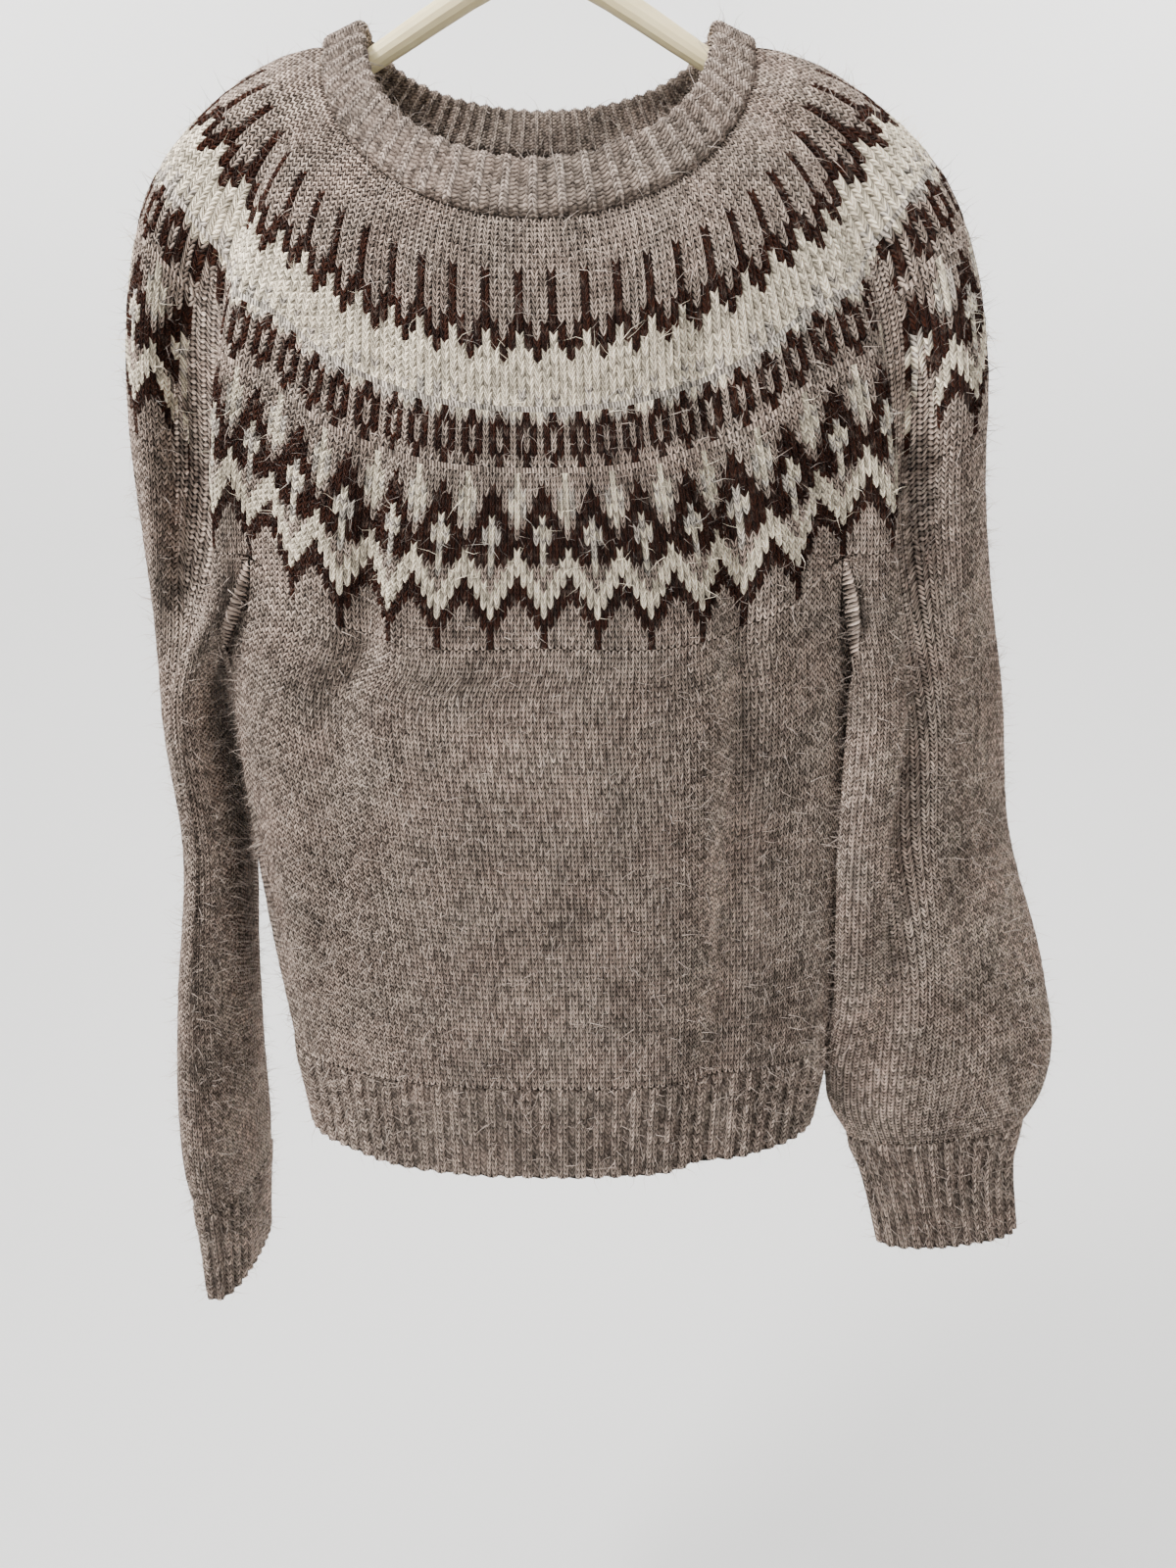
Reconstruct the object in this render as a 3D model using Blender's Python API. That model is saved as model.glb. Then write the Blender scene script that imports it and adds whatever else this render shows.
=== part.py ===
"""A fair isle jumper with a round yoke, hanging from a coat hanger.

The jumper is knitted in the round, so its pieces are tubes. Every piece of cloth is one closed wall. Its outer
face is a grid of wales (columns of stitches) by levels, and its inner face is the same grid moved in by the wall.
The origin is where the hook bears on its rail, +Z is up, and the front of the jumper faces -Y.
"""

import math

import bmesh
import bpy
import numpy as np

# Cloth.
WALL = 0.003
SEAM_GAP = 0.0003
NECK_GAP = 0.0010
UNDERARM_ASIDE = (0.00048, -0.00036, 0.0)
UNDERARM_LEAN = (0.35, -0.25, 0.0)
UNDERARM_BOW = (0.004, -0.003, -0.002)
CORNER_GAP = 0.0045
CORNER_STITCHES = 3.0
BAND_THICK = 0.009

# Stitches round each edge. Every yoke stitch goes on into the body or into a sleeve.
FRONT = 96
SLEEVE = 64
BACK = 128
UNDERARM = 12
YOKE_ROUND = FRONT + BACK + 2 * SLEEVE
BODY_ROUND = FRONT + BACK + 2 * UNDERARM
SLEEVE_ROUND = SLEEVE + UNDERARM
BODY_STEP = 4
SLEEVE_STEP = 2

# Levels of the mesh down each piece.
YOKE_LEVELS = 7
BODY_LEVELS = 6
SLEEVE_LEVELS = 8
HEM_LEVELS = 2
CUFF_LEVELS = 1

# Neck, as the line where the yoke is knitted on to the neckband, and the neckband's fold.
NECK_COLUMNS = ("half_width", "front_y", "back_y", "side_z", "front_z", "back_z")
NECK_SEAM = dict(zip(NECK_COLUMNS, (0.1190, -0.096, 0.056, -0.1285, -0.2410, -0.1690)))
NECK_FOLD = dict(zip(NECK_COLUMNS, (0.0950, -0.085, 0.060, -0.1180, -0.2110, -0.1405)))
NECK_SIDE_STITCH = 82
NECK_COLUMNS_ROUND = 48

# The neckband's outline across: which end of it each point goes round, and at what angle.
BAND_OUTLINE = (("seam", -90.0), ("seam", -30.0), ("fold", 30.0), ("fold", 90.0), ("fold", 150.0), ("seam", 210.0))

# The yoke's lower edge, from the front centre to the back centre, in metres.
# place, stitch, right_x, left_x, y, z
YOKE_EDGE = (
    ("front_centre", 0, 0.004, 0.004, -0.105, -0.452),
    ("front_quarter", 24, 0.088, -0.080, -0.100, -0.449),
    ("front_side", 38, 0.134, -0.126, -0.086, -0.432),
    ("underarm_front", 48, 0.168, -0.160, -0.062, -0.405),
    ("sleeve_inner", 56, 0.196, -0.180, -0.060, -0.400),
    ("sleeve_groove", 63, 0.212, -0.196, -0.030, -0.362),
    ("sleeve_front", 70, 0.236, -0.218, -0.048, -0.342),
    ("sleeve_outer", 80, 0.2600, -0.2400, -0.006, -0.334),
    ("sleeve_back", 90, 0.246, -0.228, 0.036, -0.352),
    ("sleeve_rear", 102, 0.215, -0.206, 0.030, -0.400),
    ("underarm_back", 112, 0.201, -0.196, -0.010, -0.437),
    ("back_side", 128, 0.176, -0.168, 0.040, -0.424),
    ("back_quarter", 150, 0.094, -0.090, 0.062, -0.406),
    ("back_centre", 176, 0.004, 0.004, 0.066, -0.398),
)

# A line round the yoke part of the way down, where it turns over the hanger's tips.
MIDDLE_SHARE = 0.45
YOKE_MIDDLE = (
    ("front_centre", 0, 0.003, 0.003, -0.108, -0.345),
    ("front_quarter", 26, 0.078, -0.074, -0.102, -0.332),
    ("front_side", 44, 0.134, -0.128, -0.076, -0.298),
    ("sleeve_inner", 56, 0.170, -0.162, -0.052, -0.258),
    ("sleeve_groove", 63, 0.190, -0.181, -0.036, -0.234),
    ("sleeve_front", 70, 0.208, -0.199, -0.032, -0.210),
    ("sleeve_outer", 80, 0.223, -0.213, 0.000, -0.188),
    ("sleeve_back", 90, 0.214, -0.205, 0.028, -0.202),
    ("sleeve_rear", 104, 0.182, -0.175, 0.052, -0.240),
    ("back_side", 124, 0.132, -0.127, 0.070, -0.270),
    ("back_quarter", 150, 0.066, -0.062, 0.079, -0.284),
    ("back_centre", 176, 0.003, 0.003, 0.080, -0.288),
)

# How steeply the yoke leaves the neckband, in degrees below level.
SLOPE_SIDE = 4.0
SLOPE_FRONT = 66.0
SLOPE_BACK = 50.0
SLOPE_POWER = 1.5
LEAVE_PULL = (0.60, 0.78)
LEAVE_LENGTH = 1.10
ARRIVE_LENGTH = 1.00

# The body and its hem, level by level.
# z, left_x, right_x, front_y, back_y, square
BODY_SECTIONS = (
    (-0.485, -0.189, 0.188, -0.102, 0.062, 2.3),
    (-0.560, -0.183, 0.191, -0.098, 0.060, 2.3),
    (-0.645, -0.173, 0.190, -0.094, 0.060, 2.3),
    (-0.708, -0.163, 0.184, -0.095, 0.062, 2.3),
)
HEM_SECTIONS = (
    (-0.708, -0.163, 0.184, -0.095, 0.062, 2.3),
    (-0.736, -0.159, 0.180, -0.095, 0.061, 2.3),
    (-0.763, -0.154, 0.175, -0.097, 0.060, 2.3),
)

# The sleeves and cuffs, level by level. Turn swings the sleeve's outer edge back, in degrees.
# z, centre_x, centre_y, half_wide, half_thick, turn
SLEEVE_SECTIONS = {
    "right": (
        (-0.490, 0.2345, -0.014, 0.070, 0.020, 38.0),
        (-0.578, 0.2390, -0.014, 0.077, 0.021, 36.0),
        (-0.678, 0.2560, -0.010, 0.083, 0.025, 25.0),
        (-0.735, 0.2600, -0.004, 0.081, 0.030, 15.0),
        (-0.762, 0.2605, 0.000, 0.074, 0.029, 12.0),
        (-0.782, 0.261, 0.000, 0.062, 0.022, 11.0),
    ),
    "left": (
        (-0.490, -0.2130, -0.005, 0.060, 0.0140, 87.0),
        (-0.578, -0.2060, -0.003, 0.060, 0.0145, 88.0),
        (-0.680, -0.2130, -0.002, 0.061, 0.0175, 90.0),
        (-0.752, -0.2160, 0.000, 0.062, 0.0200, 90.0),
        (-0.790, -0.2150, 0.000, 0.060, 0.0195, 91.0),
        (-0.815, -0.2135, 0.000, 0.054, 0.0170, 92.0),
    ),
}
CUFF_SECTIONS = {
    "right": (
        (-0.782, 0.261, 0.000, 0.062, 0.022, 11.0),
        (-0.808, 0.264, 0.000, 0.055, 0.019, 11.0),
        (-0.863, 0.274, 0.000, 0.050, 0.016, 10.0),
    ),
    "left": (
        (-0.815, -0.2135, 0.000, 0.054, 0.0170, 92.0),
        (-0.840, -0.2135, 0.000, 0.051, 0.0150, 92.0),
        (-0.880, -0.2136, 0.000, 0.049, 0.0125, 92.0),
    ),
}
SLEEVE_SQUARE = 2.2
OUTER_STITCH = {"right": 86, "left": 99}

# The largest folds, each a soft trough that runs down the cloth. Stitches are counted from the piece's start.
# start, end, wide_top, wide_end, depth_top, depth_middle, depth_end
YOKE_FOLDS = (
    (28, 31, 3.0, 3.5, 0.000, 0.006, 0.013),
    (-27, -28, 3.0, 3.5, 0.000, 0.006, 0.013),
    (58, 63, 3.2, 3.2, 0.000, 0.010, 0.014),
    (-58, -63, 3.2, 3.2, 0.000, 0.012, 0.018),
    (148, 152, 5.0, 5.0, 0.000, 0.002, 0.005),
    (-146, -150, 5.0, 5.0, 0.000, 0.002, 0.004),
)
BODY_FOLDS = (
    (31, 27, 3.5, 5.0, 0.013, 0.015, 0.010),
    (36, 37, 7.0, 7.0, 0.000, 0.011, 0.006),
    (-28, -38, 3.5, 6.0, 0.013, 0.004, 0.002),
    (100, 92, 5.0, 6.0, 0.005, 0.008, 0.007),
    (-98, -104, 5.0, 6.0, 0.004, 0.007, 0.008),
)
HEM_FOLDS = (
    (27, 26, 5.0, 5.0, 0.010, 0.009, 0.009),
    (37, 37, 7.0, 7.0, 0.006, 0.005, 0.004),
    (-38, -39, 6.0, 6.0, 0.002, 0.002, 0.003),
    (92, 91, 6.0, 6.0, 0.007, 0.007, 0.007),
    (-104, -105, 6.0, 6.0, 0.008, 0.008, 0.008),
)
SLEEVE_FOLDS = {
    "right": ((15, 5, 3.2, 3.0, 0.014, 0.017, 0.000), (46, 50, 4.0, 5.0, 0.000, 0.008, 0.000)),
    "left": ((15, 10, 3.2, 5.0, 0.018, 0.008, 0.000), (48, 52, 4.0, 5.0, 0.000, 0.006, 0.000)),
}

# Hanger and hook.
# x, z, half_high, half_deep
ARM_SECTIONS = (
    (0.000, -0.0885, 0.0078, 0.0068),
    (0.020, -0.0935, 0.0080, 0.0066),
    (0.043, -0.1054, 0.0082, 0.0064),
    (0.063, -0.1170, 0.0080, 0.0062),
    (0.092, -0.1345, 0.0070, 0.0058),
    (0.114, -0.1454, 0.0056, 0.0054),
    (0.150, -0.1560, 0.0056, 0.0055),
    (0.182, -0.1720, 0.0052, 0.0055),
)
ARM_RINGS = 10
ARM_SIDES = 14
HOOK_WIRE = 0.0019
HOOK_BEND = 0.020
HOOK_FOOT_Z = -0.0905
HOOK_STEM_TOP_Z = -0.052
SOCKET_GAP = 0.0004

WOOL_TAUPE = (0.290, 0.235, 0.200)
WOOL_BROWN = (0.045, 0.022, 0.015)
HANGER_IVORY = (0.800, 0.740, 0.540)
HOOK_STEEL = (0.620, 0.620, 0.620)


def clear_scene():
    for old in list(bpy.data.objects):
        bpy.data.objects.remove(old, do_unlink=True)


def plain_material(name, colour, roughness, metallic):
    material = bpy.data.materials.new(name)
    material.use_nodes = True
    shader = material.node_tree.nodes["Principled BSDF"]
    shader.inputs["Base Color"].default_value = (*colour, 1.0)
    shader.inputs["Roughness"].default_value = roughness
    shader.inputs["Metallic"].default_value = metallic
    return material


def smooth_through(knots, values, at, closed_by=None, start_slope=None, end_slope=None):
    """A cubic curve through values at knots. closed_by is the length after which a closed curve repeats."""
    knots = np.asarray(knots, float)
    values = np.asarray(values, float)
    at = np.asarray(at, float)
    if closed_by is not None:
        at = np.mod(at - knots[0], closed_by) + knots[0]
        knots = np.concatenate([[knots[-1] - closed_by], knots, knots[:2] + closed_by])
        values = np.concatenate([values[-1:], values, values[:2]])
    steps = np.diff(knots).reshape((-1,) + (1,) * (values.ndim - 1))
    rises = np.diff(values, axis=0) / steps
    inner = (rises[:-1] * steps[1:] + rises[1:] * steps[:-1]) / (steps[:-1] + steps[1:])
    first = rises[:1] if start_slope is None else np.asarray(start_slope, float)[None]
    last = rises[-1:] if end_slope is None else np.asarray(end_slope, float)[None]
    slopes = np.concatenate([first, inner, last])
    span = np.clip(np.searchsorted(knots, at, side="right") - 1, 0, len(knots) - 2)
    width = (knots[span + 1] - knots[span]).reshape((-1,) + (1,) * (values.ndim - 1))
    share = ((at - knots[span]) / (knots[span + 1] - knots[span])).reshape(width.shape)
    return (
        values[span] * (2 * share**3 - 3 * share**2 + 1)
        + values[span + 1] * (3 * share**2 - 2 * share**3)
        + slopes[span] * width * (share**3 - 2 * share**2 + share)
        + slopes[span + 1] * width * (share**3 - share**2)
    )


def even_shares(outline, shares):
    """Points at the given shares of an open outline's length."""
    lengths = np.concatenate([[0.0], np.cumsum(np.linalg.norm(np.diff(outline, axis=0), axis=1))])
    places = np.asarray(shares) * lengths[-1]
    return np.stack([np.interp(places, lengths, outline[:, axis]) for axis in range(outline.shape[1])], axis=1)


def neck_line(sizes, stitches):
    """The neck's outline at yoke stitches counted from the front centre. It peaks on the hanger's arms."""
    angles = np.linspace(0.0, math.pi / 2, 91)
    turned = np.mod(np.asarray(stitches, float) + YOKE_ROUND / 2, YOKE_ROUND) - YOKE_ROUND / 2
    away = np.abs(turned)
    quarters = []
    for end in ("front", "back"):
        fall = sizes[end + "_z"] - sizes["side_z"]
        quarters.append(
            np.stack(
                [
                    sizes["half_width"] * np.sin(angles),
                    sizes[end + "_y"] * np.cos(angles),
                    sizes["side_z"] + fall * np.cos(angles),
                ],
                axis=1,
            )
        )
    in_front = even_shares(quarters[0], np.clip(away / NECK_SIDE_STITCH, 0.0, 1.0))
    behind_share = (YOKE_ROUND / 2 - away) / (YOKE_ROUND / 2 - NECK_SIDE_STITCH)
    behind = even_shares(quarters[1], np.clip(behind_share, 0.0, 1.0))
    points = np.where((away <= NECK_SIDE_STITCH)[:, None], in_front, behind)
    points[:, 0] *= np.where(turned < 0, -1.0, 1.0)
    return points


def yoke_edge(stitches, rows=YOKE_EDGE):
    """The yoke's lower edge, or another line round it, at stitches counted from the front centre towards +X."""
    right = [(row[1], row[2], row[4], row[5]) for row in rows]
    left = [(YOKE_ROUND - row[1], row[3], row[4], row[5]) for row in rows[-2:0:-1]]
    table = np.array(right + left)
    return smooth_through(table[:, 0], table[:, 1:], stitches, closed_by=YOKE_ROUND)


def underarm_line(side, shares):
    """The underarm graft, from its front end to its back end."""
    sign = 1.0 if side == "right" else -1.0
    ends = yoke_edge([sign * FRONT / 2, sign * (FRONT / 2 + SLEEVE)])
    shares = np.asarray(shares, float)[:, None]
    line = ends[0] + (ends[1] - ends[0]) * shares
    return line + np.sin(math.pi * shares) * np.array(UNDERARM_BOW) * (sign, 1.0, 1.0)


def add_folds(grid, stitches, folds, round_count):
    """Presses each fold into a grid of levels by stitches, along the cloth's own inward direction."""
    inward = -outward_normals(grid)
    depth = np.zeros(grid.shape[:2])
    shares = np.linspace(0.0, 1.0, grid.shape[0])
    for start, end, wide_top, wide_end, depth_top, depth_middle, depth_end in folds:
        centres = start + (end - start) * shares
        wide = wide_top + (wide_end - wide_top) * shares
        depths = np.interp(shares, [0.0, 0.5, 1.0], [depth_top, depth_middle, depth_end])
        away = np.asarray(stitches)[None, :] - centres[:, None]
        away = np.mod(away + round_count / 2, round_count) - round_count / 2
        depth = depth + depths[:, None] * np.exp(-((away / wide[:, None]) ** 2))
    return grid + inward * depth[:, :, None]


def outward_normals(grid, from_neck=False):
    """Unit normals of a grid of levels (down) by stitches (round, anticlockwise from above). Rims hang straight."""
    along = np.roll(grid, -1, axis=1) - np.roll(grid, 1, axis=1)
    down = np.gradient(grid, axis=0)
    down[-1] = (0.0, 0.0, -1.0)
    if not from_neck:
        down[0] = (0.0, 0.0, -1.0)
    normals = np.cross(down, along)
    return normals / np.maximum(np.linalg.norm(normals, axis=2, keepdims=True), 1e-9)


def even_levels(paths, levels, start_gaps):
    """Cuts every stitch's dense path into levels that are even along the cloth."""
    columns = []
    for path, gap in zip(np.swapaxes(paths, 0, 1), start_gaps):
        length = np.linalg.norm(np.diff(path, axis=0), axis=1).sum()
        columns.append(even_shares(path, np.linspace(gap / length, 1.0, levels + 1)))
    return np.swapaxes(np.array(columns), 0, 1)


def seam_gaps(stitches, corners, round_count):
    """The gap above each stitch, wider where three pieces of cloth meet."""
    gaps = np.full(len(stitches), SEAM_GAP)
    for corner in corners:
        away = np.mod(np.asarray(stitches) - corner + round_count / 2, round_count) - round_count / 2
        gaps = gaps + CORNER_GAP * np.exp(-((away / CORNER_STITCHES) ** 2))
    return gaps


def yoke_surface(stitches, levels):
    """Each wale leaves the neck at the shoulder's slope and arrives at the lower edge hanging straight down."""
    top = neck_line(NECK_SEAM, stitches)
    middle = yoke_edge(stitches, YOKE_MIDDLE)
    end = yoke_edge(stitches)
    ahead = np.clip(top[:, 1] / NECK_SEAM["front_y"], 0.0, 1.0)
    behind = np.clip(top[:, 1] / NECK_SEAM["back_y"], 0.0, 1.0)
    slope = SLOPE_SIDE + (SLOPE_FRONT - SLOPE_SIDE) * ahead**SLOPE_POWER
    slope = np.radians(slope + (SLOPE_BACK - SLOPE_SIDE) * behind**SLOPE_POWER)
    out = end[:, :2] - top[:, :2] + top[:, :2] * LEAVE_PULL
    out = out / np.linalg.norm(out, axis=1, keepdims=True)
    leave = np.column_stack([out * np.cos(slope)[:, None], -np.sin(slope)])
    reach = np.linalg.norm(end - top, axis=1)[:, None]
    arrive = np.array([0.0, 0.0, -1.0]) * reach * ARRIVE_LENGTH
    dense = smooth_through(
        (0.0, MIDDLE_SHARE, 1.0),
        np.array([top, middle, end]),
        np.linspace(0.0, 1.0, 40),
        start_slope=leave * reach * LEAVE_LENGTH,
        end_slope=arrive,
    )
    grid = even_levels(dense, levels, np.full(len(stitches), NECK_GAP))
    return add_folds(grid, stitches, YOKE_FOLDS, YOKE_ROUND)


def body_section(row, stitches):
    """One level of the body: half an oval in front of the side lines, and half behind them."""
    z, left_x, right_x, front_y, back_y, square = row
    quarter = BODY_ROUND / 4
    angles = np.linspace(-math.pi / 2, math.pi / 2, 121)
    across = np.sign(np.sin(angles)) * np.abs(np.sin(angles)) ** (2 / square)
    deep = np.abs(np.cos(angles)) ** (2 / square)
    x = (left_x + right_x) / 2 + across * (right_x - left_x) / 2
    turned = np.mod(np.asarray(stitches, float) + quarter, BODY_ROUND)
    in_front = turned <= 2 * quarter
    front = even_shares(np.stack([x, front_y * deep], axis=1), np.clip(turned / (2 * quarter), 0.0, 1.0))
    back = even_shares(np.stack([x, back_y * deep], axis=1), np.clip(2.0 - turned / (2 * quarter), 0.0, 1.0))
    flat = np.where(in_front[:, None], front, back)
    return np.column_stack([flat, np.full(len(flat), z)])


def sleeve_section(side, row, stitches):
    """One level of a sleeve: a flattened oval. Stitches are counted from the front end of the underarm graft."""
    z, centre_x, centre_y, half_wide, half_thick, turn = row
    sign = 1.0 if side == "right" else -1.0
    half = SLEEVE_ROUND / 2
    inner_stitch = OUTER_STITCH[side] - FRONT / 2 - half
    angles = np.linspace(-math.pi / 2, math.pi / 2, 121)
    wide = half_wide * np.sign(np.sin(angles)) * np.abs(np.sin(angles)) ** (2 / SLEEVE_SQUARE)
    thick = half_thick * np.abs(np.cos(angles)) ** (2 / SLEEVE_SQUARE)
    turned = np.mod(np.asarray(stitches, float) - inner_stitch, SLEEVE_ROUND)
    in_front = turned <= half
    front = even_shares(np.stack([wide, -thick], axis=1), np.clip(turned / half, 0.0, 1.0))
    back = even_shares(np.stack([wide, thick], axis=1), np.clip(2.0 - turned / half, 0.0, 1.0))
    flat = np.where(in_front[:, None], front, back)
    swing = math.radians(turn)
    x = flat[:, 0] * math.cos(swing) - flat[:, 1] * math.sin(swing)
    y = flat[:, 0] * math.sin(swing) + flat[:, 1] * math.cos(swing)
    return np.column_stack([centre_x + sign * x, centre_y + y, np.full(len(flat), z)])


def hanging_paths(rings, start_slope):
    """Dense paths down through the rings, one for each stitch."""
    rings = np.array(rings)
    gaps = np.linalg.norm(np.diff(rings, axis=0), axis=2).mean(axis=1)
    knots = np.concatenate([[0.0], np.cumsum(gaps)])
    dense = np.linspace(0.0, knots[-1], 60)
    return smooth_through(knots, rings, dense, start_slope=start_slope)


def body_surface(stitches, levels):
    half_front = FRONT / 2
    turned = np.mod(np.asarray(stitches, float) + BODY_ROUND / 2, BODY_ROUND) - BODY_ROUND / 2
    top = np.zeros((len(turned), 3))
    lean = np.zeros((len(turned), 3))
    lean[:, 2] = -1.0
    for index, stitch in enumerate(turned):
        side = "right" if stitch > 0 else "left"
        sign = 1.0 if stitch > 0 else -1.0
        along = abs(stitch) - half_front
        if along <= 0:
            top[index] = yoke_edge([stitch])[0]
        elif along < UNDERARM:
            top[index] = underarm_line(side, [along / UNDERARM])[0]
            lean[index] -= np.array(UNDERARM_LEAN) * (sign, 1.0, 1.0)
            top[index] -= np.array(UNDERARM_ASIDE) * (sign, 1.0, 1.0)
        else:
            top[index] = yoke_edge([stitch + sign * (SLEEVE - UNDERARM)])[0]
    rings = [top] + [body_section(row, stitches) for row in BODY_SECTIONS]
    corners = (half_front, half_front + UNDERARM, -half_front, -half_front - UNDERARM)
    grid = even_levels(hanging_paths(rings, lean), levels, seam_gaps(turned, corners, BODY_ROUND))
    return add_folds(grid, stitches, BODY_FOLDS, BODY_ROUND)


def sleeve_surface(side, stitches, levels):
    sign = 1.0 if side == "right" else -1.0
    wrapped = np.mod(np.asarray(stitches, float), SLEEVE_ROUND)
    top = np.zeros((len(wrapped), 3))
    lean = np.zeros((len(wrapped), 3))
    lean[:, 2] = -1.0
    for index, stitch in enumerate(wrapped):
        if stitch <= SLEEVE:
            top[index] = yoke_edge([sign * (FRONT / 2 + stitch)])[0]
        else:
            share = 1.0 - (stitch - SLEEVE) / UNDERARM
            top[index] = underarm_line(side, [share])[0]
            lean[index] += np.array(UNDERARM_LEAN) * (sign, 1.0, 1.0)
            top[index] += np.array(UNDERARM_ASIDE) * (sign, 1.0, 1.0)
    rings = [top] + [sleeve_section(side, row, stitches) for row in SLEEVE_SECTIONS[side]]
    gaps = seam_gaps(wrapped, (0, SLEEVE), SLEEVE_ROUND)
    grid = even_levels(hanging_paths(rings, lean), levels, gaps)
    return add_folds(grid, stitches, SLEEVE_FOLDS[side], SLEEVE_ROUND)


def rib_surface(rings, levels):
    down = np.zeros_like(rings[0])
    down[:, 2] = -1.0
    return even_levels(hanging_paths(rings, down), levels, np.full(len(down), SEAM_GAP))


def wall_object(name, outer, material, from_neck=False):
    """A closed wall: the outer grid, the same grid moved in, and a rim at each end."""
    inner = outer - outward_normals(outer, from_neck) * WALL
    levels, around = outer.shape[:2]
    mesh = bmesh.new()
    faces_of = []
    for grid in (outer, inner):
        faces_of.append([[mesh.verts.new(point) for point in ring] for ring in grid])
    out_verts, in_verts = faces_of
    for level in range(levels - 1):
        for column in range(around):
            beside = (column + 1) % around
            mesh.faces.new(
                (out_verts[level][column], out_verts[level + 1][column],
                 out_verts[level + 1][beside], out_verts[level][beside])
            )
            mesh.faces.new(
                (in_verts[level][column], in_verts[level][beside],
                 in_verts[level + 1][beside], in_verts[level + 1][column])
            )
    for column in range(around):
        beside = (column + 1) % around
        mesh.faces.new(
            (out_verts[0][column], out_verts[0][beside], in_verts[0][beside], in_verts[0][column])
        )
        mesh.faces.new(
            (out_verts[-1][column], in_verts[-1][column], in_verts[-1][beside], out_verts[-1][beside])
        )
    bmesh.ops.triangulate(mesh, faces=mesh.faces[:])
    bmesh.ops.recalc_face_normals(mesh, faces=mesh.faces[:])
    return finished_object(name, mesh, material)


def finished_object(name, mesh, material):
    data = bpy.data.meshes.new(name)
    mesh.to_mesh(data)
    mesh.free()
    data.materials.append(material)
    data.shade_smooth()
    data.set_sharp_from_angle(angle=math.radians(50.0))
    obj = bpy.data.objects.new(name, data)
    bpy.context.scene.collection.objects.link(obj)
    return obj


def cloth_stitches(total, step):
    return np.arange(0, total, step)


def yoke_stitches():
    """Every fourth stitch over the body, and every second one over the sleeves."""
    half_front = FRONT // 2
    spans = (
        (0, half_front, BODY_STEP),
        (half_front, half_front + SLEEVE, SLEEVE_STEP),
        (half_front + SLEEVE, half_front + SLEEVE + BACK, BODY_STEP),
        (half_front + SLEEVE + BACK, half_front + 2 * SLEEVE + BACK, SLEEVE_STEP),
        (half_front + 2 * SLEEVE + BACK, YOKE_ROUND, BODY_STEP),
    )
    return np.concatenate([np.arange(*span) for span in spans])


def build_neck_rib(material):
    """The folded double neckband: two layers pressed together, rounded at the fold and at the seam."""
    stitches = np.linspace(0.0, YOKE_ROUND, NECK_COLUMNS_ROUND, endpoint=False)
    seam = neck_line(NECK_SEAM, stitches)
    fold = neck_line(NECK_FOLD, stitches)
    rise = fold - seam
    height = np.linalg.norm(rise, axis=1, keepdims=True)
    rise = rise / height
    along = np.roll(seam, -1, axis=0) - np.roll(seam, 1, axis=0)
    out = np.cross(along, rise)
    out = out / np.linalg.norm(out, axis=1, keepdims=True)
    radius = BAND_THICK / 2
    mesh = bmesh.new()
    rings = []
    centres = {"seam": seam + rise * radius, "fold": fold - rise * radius}
    for place, degrees in BAND_OUTLINE:
        turn = math.radians(degrees)
        rings.append(centres[place] + rise * radius * math.sin(turn) + out * radius * math.cos(turn))
    verts = [[mesh.verts.new(point) for point in ring] for ring in rings]
    for ring in range(len(verts)):
        onward = (ring + 1) % len(verts)
        for column in range(NECK_COLUMNS_ROUND):
            beside = (column + 1) % NECK_COLUMNS_ROUND
            mesh.faces.new(
                (verts[ring][column], verts[ring][beside], verts[onward][beside], verts[onward][column])
            )
    bmesh.ops.triangulate(mesh, faces=mesh.faces[:])
    bmesh.ops.recalc_face_normals(mesh, faces=mesh.faces[:])
    return finished_object("neck_rib", mesh, material)


def build_hanger(material):
    """Two curved arms in one bar, with a socket for the hook's foot."""
    table = np.array(ARM_SECTIONS)
    mirrored = table[:0:-1] * np.array([-1.0, 1.0, 1.0, 1.0])
    table = np.concatenate([mirrored, table])
    places = np.linspace(-1.0, 1.0, 2 * ARM_RINGS + 1) * ARM_SECTIONS[-1][0]
    profile = smooth_through(table[:, 0], table[:, 1:], places)
    mesh = bmesh.new()
    turns = np.linspace(0.0, 2 * math.pi, ARM_SIDES, endpoint=False)
    rings = []
    for x, (z, half_high, half_deep) in zip(places, profile):
        ring = []
        for turn in turns:
            ring.append(mesh.verts.new((x, half_deep * math.cos(turn), z + half_high * math.sin(turn))))
        rings.append(ring)
    for before, after in zip(rings, rings[1:]):
        for side in range(ARM_SIDES):
            beside = (side + 1) % ARM_SIDES
            mesh.faces.new((before[side], before[beside], after[beside], after[side]))
    for ring, outward in ((rings[0], -1.0), (rings[-1], 1.0)):
        x, z = ring[0].co.x, (ring[0].co.z + ring[ARM_SIDES // 2].co.z) / 2
        tip = mesh.verts.new((x + outward * ARM_SECTIONS[-1][2] * 0.7, 0.0, z))
        for side in range(ARM_SIDES):
            mesh.faces.new((ring[side], ring[(side + 1) % ARM_SIDES], tip))
    bmesh.ops.recalc_face_normals(mesh, faces=mesh.faces[:])
    hanger = finished_object("hanger", mesh, material)
    top_z = ARM_SECTIONS[0][1] + ARM_SECTIONS[0][2]
    foot = HOOK_FOOT_Z - SOCKET_GAP
    bpy.ops.mesh.primitive_cylinder_add(
        vertices=16, radius=HOOK_WIRE + SOCKET_GAP, depth=2 * (top_z - foot), location=(0.0, 0.0, top_z)
    )
    cutter = bpy.context.object
    cutter.name = "socket_cutter"
    cutter.hide_render = True
    cutter.display_type = "WIRE"
    socket = hanger.modifiers.new("socket", "BOOLEAN")
    socket.operation = "DIFFERENCE"
    socket.object = cutter
    return hanger


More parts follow.
